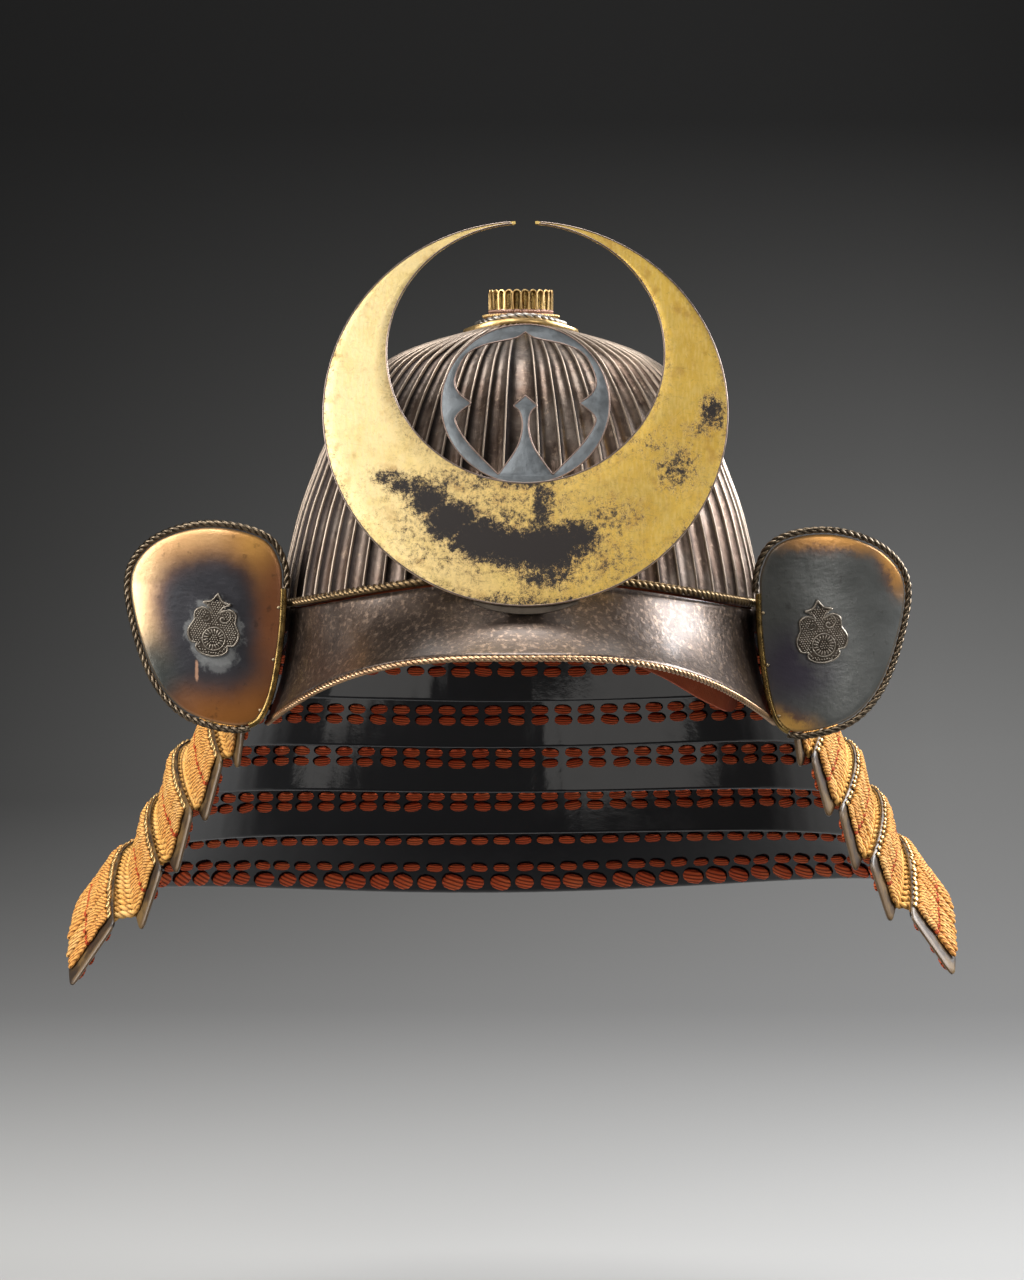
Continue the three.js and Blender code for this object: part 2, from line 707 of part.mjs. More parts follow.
// Petals stand round the hole, hollow outside, with a ridge between each two.
function petals() {
  const steps = PETALS.count * 2;
  const ring = (radius, z, ridge) => Array.from({ length: steps }, (_, j) => {
    const angle = (2 * Math.PI * j) / steps;
    const r = radius - (j % 2 ? ridge : 0);
    return [r * Math.sin(angle), -r * Math.cos(angle), z + (j % 2 ? ridge * 0.3 : 0)];
  });
  const { outer, ridge, z, top, flare } = PETALS;
  const outside = [ring(outer - flare, z, ridge), ring(outer, top - 1, ridge)];
  const inside = [ring(HOLE + 0.4, z, 0), ring(HOLE + 0.8, top - 1.4, 0)];
  return wall(outside, inside, true);
}

// ---- The crest -----------------------------------------------------------------------------

function crescent() {
  const { outer, inner, tip, thick } = CRESCENT;
  const start = Math.acos(tip / outer.half_width);
  const innerStart = Math.acos(tip / inner.half_width);
  const shape = new THREE.Shape();
  shape.absellipse(
    0, outer.v, outer.half_width, outer.half_height, Math.PI - start, start, false, 0,
  );
  shape.absellipse(
    0, inner.v, inner.half_width, inner.half_height, innerStart, Math.PI - innerStart, true, 0,
  );
  const flat = new THREE.ExtrudeGeometry(shape, {
    depth: thick,
    bevelEnabled: false,
    curveSegments: 30,
  });
  return outward(flat.translate(0, 0, -thick));
}

function openwork() {
  const { half_width: halfWidth, half_height: halfHeight, v, thick } = OPENWORK;
  const shape = new THREE.Shape();
  shape.absellipse(0, v, halfWidth, halfHeight, 0, 2 * Math.PI, false, 0);
  shape.holes.push(new THREE.Path(mirroredShape(OPENWORK_ARCS, 2, v)));
  const flat = new THREE.ExtrudeGeometry(shape, {
    depth: thick,
    bevelEnabled: false,
    curveSegments: 36,
  });
  return outward(flat.translate(0, 0, -CRESCENT.thick - GAP - thick));
}

const TANG_FRONT = -CRESCENT.thick - GAP - OPENWORK.thick - GAP;

function box(x0, x1, y0, y1, z0, z1) {
  const geometry = new THREE.BoxGeometry(x1 - x0, y1 - y0, z1 - z0);
  return geometry.translate((x0 + x1) / 2, (y0 + y1) / 2, (z0 + z1) / 2);
}

function tang() {
  const half = TANG.width / 2;
  return outward(box(-half, half, TANG.from, TANG.to, TANG_FRONT - TANG.thick, TANG_FRONT));
}

// A round-footed plate behind the crescent's foot carries a flat socket for the tang.
function bracket() {
  const { half_width: half, back_thick: thick, foot, top, socket_wall: rim } = BRACKET;
  const front = -CRESCENT.thick - GAP;
  const shape = new THREE.Shape();
  const reach = 60;
  const spread = Math.asin(half / reach);
  shape.absarc(0, foot + reach, reach, -Math.PI / 2 - spread, -Math.PI / 2 + spread, false);
  shape.lineTo(half * 0.55, top);
  shape.lineTo(-half * 0.55, top);
  const back = new THREE.ExtrudeGeometry(shape, {
    depth: thick,
    bevelEnabled: false,
    curveSegments: 10,
  }).translate(0, 0, front - thick);
  const slot = { half: TANG.width / 2 + GAP, deep: TANG_FRONT - TANG.thick - GAP };
  const socket = box(-slot.half - rim, slot.half + rim, 10, top, slot.deep - rim, front - 0.1);
  const body = joined(back, socket);
  return cut(body, box(-slot.half, slot.half, TANG.from - GAP, top + 5, slot.deep, 5));
}

// ---- The helmet ----------------------------------------------------------------------------

const helmet = new THREE.Group();

function add(parent, name, geometry, color, roughness, metalness) {
  const material = new THREE.MeshStandardMaterial({ color, roughness, metalness });
  const mesh = new THREE.Mesh(geometry, material);
  mesh.name = name;
  parent.add(mesh);
  return mesh;
}

const RUSSET = ['#4a3a33', 0.5, 0.8];
const ROPE = ['#7d6a4c', 0.45, 0.9];
const LACQUER = ['#131217', 0.2, 0.1];
const GILT = ['#c9a44f', 0.4, 0.9];

add(helmet, 'bowl', bowl(), ...RUSSET);
add(helmet, 'base_band', baseBand(), ...RUSSET);
add(helmet, 'lining', lining(), '#b8452a', 0.9, 0);
add(helmet, 'visor', visor(), ...RUSSET);
add(helmet, 'visor_top_rope', topRope(), ...ROPE);
add(helmet, 'visor_lip_rope', lipRope(), '#b98d55', 0.4, 0.9);

add(helmet, 'crown_flange', flange(), ...GILT);
for (const ring of CROWN_RINGS) add(helmet, ring.name, crownRing(ring), '#8d867b', 0.4, 0.9);
add(helmet, 'crown_collar', collar(), '#b3836a', 0.4, 0.9);
add(helmet, 'crown_petals', petals(), ...GILT);

LAMES.forEach((lame, k) => {
  if (k === 0) {
    add(helmet, lame.name, joined(lamePlate(lame), flap(-1), flap(1)), ...LACQUER);
    return;
  }
  add(helmet, lame.name, lamePlate(lame), ...LACQUER);
  const skin = lacing(lame, k === LAMES.length - 1);
  add(helmet, `lacing_${k + 1}`, skin, '#d9a45f', 0.9, 0);
});

for (const [hand, side] of [['left', 1], ['right', -1]]) {
  add(helmet, `turn_back_rope_${hand}`, flapRope(side), ...ROPE);
  const badge = add(helmet, `plaque_${hand}`, plaque(), '#8a8073', 0.4, 0.9);
  badge.position.set(...onFlap(side, PLAQUE.x, PLAQUE.z, -2 * GAP));
  badge.rotation.set(Math.PI / 2, -side * degToRad(PLAQUE.turn), 0, 'ZXY');
}

const crest = new THREE.Group();
crest.position.set(CREST_FOOT.x, CREST_FOOT.y, CREST_FOOT.z);
crest.rotation.x = degToRad(90 - CREST_LEAN);
helmet.add(crest);
add(crest, 'crest_crescent', crescent(), ...GILT);
add(crest, 'crest_openwork', openwork(), '#6e7a82', 0.4, 0.8);
add(crest, 'crest_tang', tang(), ...GILT);
add(crest, 'crest_bracket', bracket(), ...RUSSET);

export default helmet;
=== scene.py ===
# %% [markdown]
# # A kabuto, piece by piece
# A kabuto is a samurai's helmet: a bowl of riveted iron plates, a peak, a neck guard of laced
# lames, turned-back ends that frame the face, and a crest. The solids come packed, at their real
# size. This lesson dresses them: fine meshes over the same curves, and finishes made of nodes.

# %% Load the solids
from math import asin, cos, pi, radians, sin, sqrt

import bmesh
import bpy
import numpy as np
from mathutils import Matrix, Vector


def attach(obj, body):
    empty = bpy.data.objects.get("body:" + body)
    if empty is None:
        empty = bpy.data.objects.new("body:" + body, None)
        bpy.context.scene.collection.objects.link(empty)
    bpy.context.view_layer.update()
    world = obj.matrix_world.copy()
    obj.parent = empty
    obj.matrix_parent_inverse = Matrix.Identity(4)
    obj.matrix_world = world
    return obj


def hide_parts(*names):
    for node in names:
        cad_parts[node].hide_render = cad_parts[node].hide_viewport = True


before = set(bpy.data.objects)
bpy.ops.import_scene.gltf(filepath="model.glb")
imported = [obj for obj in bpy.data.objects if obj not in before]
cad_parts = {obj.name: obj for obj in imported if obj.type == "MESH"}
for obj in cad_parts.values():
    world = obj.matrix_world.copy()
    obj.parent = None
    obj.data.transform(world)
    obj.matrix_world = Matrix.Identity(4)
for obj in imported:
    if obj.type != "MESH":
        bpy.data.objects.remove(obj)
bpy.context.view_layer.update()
MM = 0.001

# %% [markdown]
# The camera comes first. A long lens from a metre and a half away keeps the curved lames from
# bulging, and it looks a few degrees down from the height of the crest.

# %% Camera
CAMERA = {"place": (-4.4, -1551.3, 111.9), "down": 4.85, "lens": 87.12, "film": 36}


def link(name, data):
    """An object of the scene, made of a mesh, a curve, a light or a camera."""
    thing = bpy.data.objects.new(name, data)
    bpy.context.scene.collection.objects.link(thing)
    return thing


def make_camera():
    data = bpy.data.cameras.new("camera")
    data.sensor_fit = "VERTICAL"
    data.sensor_height = CAMERA["film"]
    data.lens = CAMERA["lens"]
    camera = link("camera", data)
    camera.location = Vector(CAMERA["place"]) * MM
    camera.rotation_euler = (radians(90 - CAMERA["down"]), 0, 0)
    bpy.context.scene.camera = camera
    return camera


camera = make_camera()
print("camera at", tuple(round(v, 3) for v in camera.location))

# %% [markdown]
# A few small helpers build every mesh: a spline for outlines, a wall between two grids of points,
# and a loft through closed rings. All take millimetres, the unit that the parts are drawn in.
# Most of the helmet is round, so points are often given as an angle from the front and a radius.

# %% Mesh helpers


def xyz(*parts):
    """Points from their coordinates, any of which may be a single number."""
    return np.stack(np.broadcast_arrays(*parts), -1)


def unit(vectors):
    return vectors / np.linalg.norm(vectors, axis=-1)[..., None]


def around(angle, radius=1.0, z=0.0, stretch=1.0):
    """Points at an angle from the front, on a round that may be longer than it is wide."""
    return xyz(radius * np.sin(angle), -radius * stretch * np.cos(angle), z)


def run_along(points):
    """How far along a line each of its points is."""
    steps = np.linalg.norm(np.diff(points, axis=0), axis=1)
    return np.append(0, np.cumsum(steps))


def spline(points, steps, closed=False):
    """A smooth curve through points, with the same number of steps between each two."""
    p = np.array(points, float)
    if closed:
        p = np.vstack([p[-1:], p, p[:2]])
    else:
        p = np.vstack([2 * p[:1] - p[1:2], p, 2 * p[-1:] - p[-2:-1]])
    t = np.linspace(0, 1, steps, endpoint=False)[:, None]
    runs = []
    for a, b, c, d in zip(p, p[1:], p[2:], p[3:]):
        bend = (2 * a - 5 * b + 4 * c - d) * t**2 + (3 * b - a - 3 * c + d) * t**3
        runs.append(b + 0.5 * ((c - a) * t + bend))
    curve = np.vstack(runs)
    return curve if closed else np.vstack([curve, p[-2:-1]])


def new_piece(name, points, faces, material, marks=None, uv=None, angle=40):
    """A mesh object from points in millimetres, with its faces turned outwards."""
    mesh = bpy.data.meshes.new(name)
    mesh.from_pydata((np.array(points, float) * MM).tolist(), [], faces)
    for mark, values in (marks or {}).items():
        layer = mesh.attributes.new(mark, "FLOAT", "POINT")
        layer.data.foreach_set("value", np.array(values, np.float32).ravel())
    if uv is not None:
        corners = np.zeros(len(mesh.loops), np.int32)
        mesh.loops.foreach_get("vertex_index", corners)
        layer = mesh.uv_layers.new(name="weave")
        layer.data.foreach_set("uv", np.array(uv, np.float32)[corners].ravel())
    tidy = bmesh.new()
    tidy.from_mesh(mesh)
    bmesh.ops.recalc_face_normals(tidy, faces=tidy.faces)
    tidy.to_mesh(mesh)
    tidy.free()
    mesh.shade_smooth()
    mesh.set_sharp_from_angle(angle=radians(angle))
    mesh.materials.append(material)
    return link(name, mesh)


def quads(rows, columns, start=0, loop=False):
    """The faces of a grid of points, numbered row by row."""
    faces = []
    for i in range(rows - 1):
        for j in range(columns if loop else columns - 1):
            a, k = start + i * columns, (j + 1) % columns
            faces.append((a + j, a + columns + j, a + columns + k, a + k))
    return faces


def wall(name, outer, inner, material, loop=False, marks=None, angle=40):
    """A closed wall between two grids of points with the same rows and columns."""
    rows, columns = outer.shape[:2]
    size = rows * columns
    points = np.vstack([outer.reshape(-1, 3), inner.reshape(-1, 3)])
    faces = quads(rows, columns, 0, loop) + quads(rows, columns, size, loop)
    for i in (0, rows - 1):
        for j in range(columns if loop else columns - 1):
            a, b = i * columns + j, i * columns + (j + 1) % columns
            faces.append((a, b, size + b, size + a))
    if not loop:
        for j in (0, columns - 1):
            for i in range(rows - 1):
                a, b = i * columns + j, (i + 1) * columns + j
                faces.append((a, b, size + b, size + a))
    return new_piece(name, points, faces, material, marks, angle=angle)


def loft(name, rings, material, loop=False, marks=None, uv=None, angle=40):
    """A body through closed rings of points, with flat ends or joined into a loop."""
    rows, columns = rings.shape[:2]
    faces = quads(rows, columns, 0, True)
    if loop:
        last = (rows - 1) * columns
        for j in range(columns):
            k = (j + 1) % columns
            faces.append((last + j, j, k, last + k))
    else:
        faces.append(tuple(range(columns)))
        faces.append(tuple(range((rows - 1) * columns, rows * columns)))
    return new_piece(name, rings.reshape(-1, 3), faces, material, marks, uv, angle)


print("a spline through 3 points:", spline([(0, 0), (1, 1), (2, 0)], 2).tolist())

# %% [markdown]
# Finishes are node trees. One helper adds a node, sets or links its sockets, and returns it;
# another makes an empty group with named inputs, for a small effect such as a stain.

# %% Node helpers


def wire(tree, socket, value):
    if isinstance(value, bpy.types.NodeSocket):
        tree.links.new(value, socket)
    elif isinstance(value, bpy.types.Node):
        tree.links.new(value.outputs[0], socket)
    else:
        socket.default_value = value


def add(tree, kind, *inputs, **settings):
    """A node with its unnamed inputs in order, and its named sockets or properties."""
    node = tree.nodes.new(kind)
    sockets = {}
    for name, value in settings.items():
        if name[0].isupper():
            sockets[name.replace("_", " ")] = value
        else:
            setattr(node, name, value)
    for place, value in enumerate(inputs):
        if value is not None:
            wire(tree, node.inputs[place], value)
    for name, value in sockets.items():
        wire(tree, next(s for s in node.inputs if s.name == name and s.enabled), value)
    return node


def calc(tree, operation, *inputs):
    return add(tree, "ShaderNodeMath", *inputs, operation=operation)


def vectors(tree, operation, *inputs, **more):
    return add(tree, "ShaderNodeVectorMath", *inputs, operation=operation, **more)


def ramp(tree, value, low, high, start=0.0, end=1.0, smooth=False):
    """A value that goes from start to end while another goes from low to high."""
    return add(tree, "ShaderNodeMapRange", Value=value, From_Min=low, From_Max=high,
               To_Min=start, To_Max=end,
               interpolation_type="SMOOTHSTEP" if smooth else "LINEAR")


KINDS = {float: "Float", int: "Int", tuple: "Vector"}


def group_tree(name, result, **inputs):
    """A group with named inputs, each given as its default or as its kind, and one output: a
    mask for a finish, or else a shape."""
    kind, sort = ("Shader", "Float") if result == "Mask" else ("Geometry", "Geometry")
    tree = bpy.data.node_groups.new(name, f"{kind}NodeTree")
    for label, value in inputs.items():
        known = KINDS.get(type(value), value)
        socket = tree.interface.new_socket(label, in_out="INPUT",
                                           socket_type=f"NodeSocket{known}")
        if known != value:
            socket.default_value = value
    tree.interface.new_socket(result, in_out="OUTPUT", socket_type=f"NodeSocket{sort}")
    source, sink = tree.nodes.new("NodeGroupInput"), tree.nodes.new("NodeGroupOutput")
    return tree, source.outputs, sink.inputs[0]


def use(tree, group, **inputs):
    return add(tree, "ShaderNodeGroup", node_tree=group, **inputs)


print("a group's inputs may be:", *KINDS.values())

# %% [markdown]
# Old metal is never one colour. **Clouds** makes a soft mask out of noise, for patina and rubbing.
# **Stain** makes one patch at a chosen place, with an edge that can be soft or ragged: it is used
# for tarnish, for the halo round a plaque and for gilding that has gone. **Scratches** stretches
# noise along one direction, for brushed metal and dry streaks.

# %% Effects: clouds, stain, scratches


def make_clouds():
    tree, ins, out = group_tree("clouds", "Mask", Vector="Vector", Scale=50.0, Low=0.4, High=0.6,
                                Roughness=0.6)
    noise = add(tree, "ShaderNodeTexNoise", Vector=ins["Vector"], Scale=ins["Scale"],
                Detail=8.0, Roughness=ins["Roughness"])
    wire(tree, out, ramp(tree, noise, ins["Low"], ins["High"], smooth=True))
    return tree


def make_stain():
    tree, ins, out = group_tree("stain", "Mask", Vector="Vector", Centre=(0, 0, 0),
                                Size=(0.02, 1, 0.02), Soft=0.4, Ragged=0.3, Grain=120.0)
    off = vectors(tree, "SUBTRACT", ins["Vector"], ins["Centre"])
    shape = vectors(tree, "DIVIDE", off, ins["Size"])
    reach = vectors(tree, "LENGTH", shape).outputs["Value"]
    noise = add(tree, "ShaderNodeTexNoise", Vector=ins["Vector"], Scale=ins["Grain"],
                Detail=6.0, Roughness=0.65)
    wobble = calc(tree, "MULTIPLY", calc(tree, "SUBTRACT", noise, 0.5), ins["Ragged"])
    edge = calc(tree, "ADD", reach, wobble)
    low = calc(tree, "SUBTRACT", 1.0, ins["Soft"])
    high = calc(tree, "ADD", 1.0, ins["Soft"])
    wire(tree, out, ramp(tree, edge, low, high, 1.0, 0.0, smooth=True))
    return tree


def make_scratches():
    tree, ins, out = group_tree("scratches", "Mask", Vector="Vector", Turn=0.0,
                                Stretch=(900, 900, 60), Low=0.42, Amount=0.5)
    turned = add(tree, "ShaderNodeVectorRotate", rotation_type="Y_AXIS", Vector=ins["Vector"],
                 Angle=ins["Turn"])
    long_way = vectors(tree, "MULTIPLY", turned, ins["Stretch"])
    noise = add(tree, "ShaderNodeTexNoise", Vector=long_way, Scale=1.0, Detail=4.0)
    high = calc(tree, "ADD", ins["Low"], 0.26)
    spread = ramp(tree, noise, ins["Low"], high)
    wire(tree, out, calc(tree, "MULTIPLY", spread, ins["Amount"]))
    return tree


CLOUDS, STAIN, SCRATCHES = make_clouds(), make_stain(), make_scratches()
print("effects:", CLOUDS.name, STAIN.name, SCRATCHES.name)

# %% [markdown]
# A **Finish** is one material while it is being painted: it starts as a base colour, and each
# coat is a colour laid on through a mask. Bumps add up the same way, and the last step joins the
# colour, roughness and bump to the shader. Numbers that are the same all over go straight onto
# the shader's own sockets.

# %% Finishes in coats


class Finish:
    def __init__(self, name, colour, metallic=0.0, roughness=0.5, **plain):
        self.material = bpy.data.materials.new(name)
        self.material.use_nodes = True
        self.tree = self.material.node_tree
        self.shader = self.tree.nodes["Principled BSDF"]
        self.colour = None
        self.base = (*colour, 1)
        self.rough = roughness
        self.heights = []
        self.shader.inputs["Metallic"].default_value = metallic
        for label, value in plain.items():
            self.shader.inputs[label.replace("_", " ")].default_value = value
        self.place = add(self.tree, "ShaderNodeTexCoord").outputs["Object"]

    def use(self, group, **inputs):
        return use(self.tree, group, Vector=self.place, **inputs)

    def clouds(self, scale, low, high, **more):
        return self.use(CLOUDS, Scale=scale, Low=low, High=high, **more)

    def mark(self, name):
        return add(self.tree, "ShaderNodeAttribute", attribute_name=name).outputs["Fac"]

    def masked(self, mask, amount):
        return calc(self.tree, "MULTIPLY", mask, amount)

    def coat(self, mask, colour, amount=1.0):
        """Lays a colour on through a mask."""
        below = self.base if self.colour is None else self.colour
        mix = add(self.tree, "ShaderNodeMix", data_type="RGBA")
        wire(self.tree, mix.inputs[0], self.masked(mask, amount) if amount != 1 else mask)
        wire(self.tree, mix.inputs[6], below)
        wire(self.tree, mix.inputs[7], (*colour, 1))
        self.colour = mix.outputs[2]

    def roughen(self, mask, value):
        """Moves the roughness towards a value through a mask."""
        mix = add(self.tree, "ShaderNodeMix", data_type="FLOAT")
        wire(self.tree, mix.inputs[0], mask)
        wire(self.tree, mix.inputs[2], self.rough)
        wire(self.tree, mix.inputs[3], value)
        self.rough = mix.outputs[0]

    def metal(self, mask, bare=1.0, covered=0.0):
        """Makes the surface metal where the mask is low, and paint or dirt where it is high."""
        wire(self.tree, self.shader.inputs["Metallic"], ramp(self.tree, mask, 0, 1, bare, covered))

    def bump(self, height, depth):
        """Raises the surface by a height from 0 to 1, times a depth in millimetres."""
        self.heights.append(self.masked(height, depth * MM))

    def done(self):
        shader = self.shader.inputs
        wire(self.tree, shader["Base Color"], self.base if self.colour is None else self.colour)
        wire(self.tree, shader["Roughness"], self.rough)
        if self.heights:
            total = self.heights[0]
            for height in self.heights[1:]:
                total = calc(self.tree, "ADD", total, height)
            bump = add(self.tree, "ShaderNodeBump", Strength=1.0, Distance=1.0, Height=total)
            wire(self.tree, shader["Normal"], bump)
        return self.material


print("steps of a finish:", [step for step in vars(Finish) if step[0] != "_"])

# %% [markdown]
# The bowl is russet iron, rusted on purpose and then oiled: brown-black, with pale rubbed plates
# and bright worn ribs. The visor is the same iron, but mottled like leather and drier.

# %% Finish: russet iron


def russet_iron():
    iron = Finish("russet_iron", (0.085, 0.056, 0.041), metallic=0.85, roughness=0.32)
    iron.coat(iron.clouds(34, 0.42, 0.68), (0.15, 0.12, 0.1))
    iron.coat(iron.clouds(150, 0.5, 0.68), (0.04, 0.025, 0.019), 0.7)
    iron.coat(iron.clouds(340, 0.56, 0.7), (0.3, 0.22, 0.16), 0.5)
    iron.coat(iron.mark("worn"), (0.5, 0.41, 0.33), 0.5)
    # Painted shade: the plates are darkened in their hollows beside the ribs.
    iron.coat(iron.mark("groove"), (0.006, 0.004, 0.004), 0.96)
    iron.roughen(iron.clouds(130, 0.35, 0.75), 0.44)
    iron.bump(iron.clouds(420, 0.3, 0.8), 0.07)
    return iron.done()


def visor_iron():
    iron = Finish("visor_iron", (0.065, 0.046, 0.036), metallic=0.8, roughness=0.32,
                  Coat_Weight=0.35, Coat_Roughness=0.22)
    iron.coat(iron.clouds(60, 0.45, 0.7), (0.11, 0.08, 0.062), 0.8)
    iron.coat(iron.clouds(420, 0.5, 0.68), (0.26, 0.185, 0.135), 0.8)
    iron.coat(iron.clouds(150, 0.56, 0.7), (0.025, 0.016, 0.013), 0.6)
    iron.coat(iron.use(SCRATCHES, Stretch=(900, 900, 110), Low=0.56, Amount=0.45),
              (0.13, 0.095, 0.07))
    iron.coat(iron.clouds(700, 0.58, 0.7), (0.26, 0.17, 0.1), 0.5)
    iron.roughen(iron.clouds(160, 0.35, 0.7), 0.42)
    iron.bump(iron.clouds(360, 0.3, 0.8), 0.1)
    return iron.done()


RUSSET_IRON, VISOR_IRON = russet_iron(), visor_iron()
print("iron:", RUSSET_IRON.name, VISOR_IRON.name)

# %% [markdown]
# The crescent is gold leaf over dark lacquer. Years of hands have rubbed a hole in it low down in
# the middle, spread its edge into flecks, and left specks, fine scratches and a dark line where
# the leaf has worn off the rim.

# %% Finish: worn gilding
CREST = {"x": 1.8, "y": -146.0, "z": 8.0, "lean": 14.0}
WORN_PATCHES = [  # across and up the crest, half-width and half-height in mm, and how bare
    (-62, 60, 9, 4, 0.75), (-53, 56, 11, 5, 0.85), (-44, 49, 11, 8, 1.0), (-34, 40, 14, 10, 1.1),
    (-20, 31, 16, 10, 1.15), (-4, 27, 19, 10, 1.15), (10, 27, 17, 12, 1.2), (23, 32, 12, 9, 1.0),
    (8, 46, 6, 15, 0.85), (0, 57, 20, 4, 0.66), (8, 14, 15, 7, 0.8), (69, 64, 10, 11, 0.68),
    (86, 90, 6, 8, 0.85), (78, 82, 7, 4, 0.6), (58, 76, 12, 8, 0.42), (-12, 36, 50, 24, 0.52),
    (-30, 58, 26, 7, 0.55), (40, 42, 16, 10, 0.55), (0, 1, 60, 6, 0.6), (30, 20, 30, 14, 0.45),
]


def crest_point(x, up, ahead=0.0):
    """A point of the leaning crest: across, up its lean, and out of its front."""
    lean = radians(CREST["lean"])
    y = CREST["y"] + up * sin(lean) - ahead * cos(lean)
    z = CREST["z"] + up * cos(lean) + ahead * sin(lean)
    return xyz(CREST["x"] + x, y, z)


def union(finish, masks):
    total = masks[0]
    for mask in masks[1:]:
        total = calc(finish.tree, "MAXIMUM", total, mask)
    return total


def gilding():
    gold = Finish("gilding", (0.8, 0.53, 0.1), metallic=0.72, roughness=0.38)
    parts = add(gold.tree, "ShaderNodeSeparateXYZ", gold.place).outputs
    # Painted highlight: the left side, towards the key light, is painted lighter and paler.
    left = ramp(gold.tree, parts["X"], -0.1, 0.06, 1.0, 0.0, smooth=True)
    gold.coat(gold.clouds(30, 0.38, 0.68), (0.6, 0.37, 0.06), 0.75)
    gold.coat(left, (0.88, 0.77, 0.48), 0.75)
    gold.coat(gold.clouds(70, 0.46, 0.72), (0.62, 0.46, 0.13), 0.5)
    gold.coat(gold.use(SCRATCHES, Stretch=(900, 900, 30), Amount=0.4), (0.9, 0.68, 0.26))
    gold.coat(gold.clouds(110, 0.52, 0.72), (0.42, 0.2, 0.045), 0.5)
    soft = []
    for x, up, half_width, half_height, bare in WORN_PATCHES:
        centre = crest_point(x, up) * MM
        size = np.array((half_width, 200, half_height)) * MM
        stain = gold.use(STAIN, Centre=tuple(centre), Size=tuple(size), Soft=0.85, Ragged=0.7)
        soft.append(gold.masked(stain, bare))
    grain = gold.clouds(330, 0.28, 0.72, Roughness=0.9)
    rim = gold.masked(gold.mark("edge"), 0.4)
    left_to_wear = calc(gold.tree, "SUBTRACT", union(gold, soft + [rim]), grain)
    thin = ramp(gold.tree, left_to_wear, -0.35, 0.1)
    worn = ramp(gold.tree, left_to_wear, -0.03, 0.2)
    flecks = gold.clouds(480, 0.68, 0.72, Roughness=0.8)
    lines = [gold.use(SCRATCHES, Turn=turn, Stretch=(1500, 1500, 22), Low=0.64, Amount=1.0)
             for turn in (0.5, -0.9, 1.4)]
    bare = union(gold, [worn, gold.masked(flecks, 0.7)] + [gold.masked(v, 0.6) for v in lines])
    gold.coat(thin, (0.34, 0.2, 0.07), 0.6)
    gold.coat(bare, (0.013, 0.009, 0.008))
    gold.roughen(bare, 0.5)
    gold.metal(bare, bare=0.72, covered=0.3)
    gold.bump(bare, -0.04)
    gold.bump(gold.clouds(500, 0.3, 0.8), 0.025)
    return gold.done()


GILDING = gilding()
print("worn patches on the crescent:", len(WORN_PATCHES))

# %% [markdown]
# The rest of the metalwork is small, so its finishes are short: twisted wire with painted shade
# in its grooves, silvered and gilt crown rings, blue-grey openwork with a copper edge, brass pins.

# %% Finish: small metalwork


def wire_finish(name, high, low, roughness=0.36):
    metal = Finish(name, high, metallic=0.95, roughness=roughness)
    metal.coat(metal.clouds(90, 0.4, 0.7), low, 0.6)
    # Painted shade in the grooves between the wires.
    metal.coat(metal.mark("groove"), tuple(0.12 * v for v in low))
    return metal.done()


def plain_metal(name, high, low, roughness=0.4, grime=0.5):
    metal = Finish(name, high, metallic=0.9, roughness=roughness)
    metal.coat(metal.clouds(120, 0.42, 0.68), low, grime)
    # Painted shade in the grooves of twisted wire, on pieces that have them.
    metal.coat(metal.mark("groove"), tuple(0.15 * v for v in low))
    metal.roughen(metal.clouds(300, 0.4, 0.7), roughness + 0.15)
    metal.bump(metal.clouds(700, 0.3, 0.8), 0.03)
    return metal.done()


DARK_ROPE = wire_finish("dark_brass_wire", (0.24, 0.165, 0.085), (0.08, 0.05, 0.028), 0.28)
SILVER_ROPE = wire_finish("worn_wire", (0.17, 0.13, 0.088), (0.05, 0.037, 0.026), 0.28)
COPPER_ROPE = wire_finish("copper_gilt_wire", (0.62, 0.4, 0.23), (0.3, 0.16, 0.08), 0.3)
CROWN_GILT = plain_metal("crown_gilt", (0.64, 0.44, 0.19), (0.3, 0.17, 0.065), 0.28)
CROWN_SILVER = plain_metal("crown_silver", (0.4, 0.37, 0.33), (0.16, 0.13, 0.11), 0.3)
CROWN_COPPER = plain_metal("crown_copper", (0.5, 0.32, 0.25), (0.26, 0.15, 0.1), 0.4)
BLUE_METAL = plain_metal("blue_grey_metal", (0.19, 0.21, 0.225), (0.12, 0.13, 0.136), 0.38, 0.7)
COPPER_EDGE = plain_metal("copper_edge", (0.26, 0.19, 0.16), (0.12, 0.08, 0.065), 0.4)
PIN_METAL = plain_metal("pin_metal", (0.36, 0.28, 0.17), (0.2, 0.14, 0.08), 0.35)
DARK_FLUTE = plain_metal("dark_flute", (0.32, 0.21, 0.07), (0.05, 0.03, 0.012), 0.25, 0.8)
PLAQUE_FIELD = plain_metal("plaque_field_metal", (0.1, 0.082, 0.065), (0.035, 0.027, 0.02), 0.4)
PLAQUE_METAL = plain_metal("plaque_rim_metal", (0.32, 0.285, 0.24), (0.13, 0.105, 0.08), 0.32)
print("finishes so far:", len(bpy.data.materials))

# %% [markdown]
# The lames are lacquered: black and mirror-bright inside, worn gold outside. The finish reads one
# mark, which is 1 on the outer face, so both coats live in one material.

# %% Finish: lacquer, cloth and silk


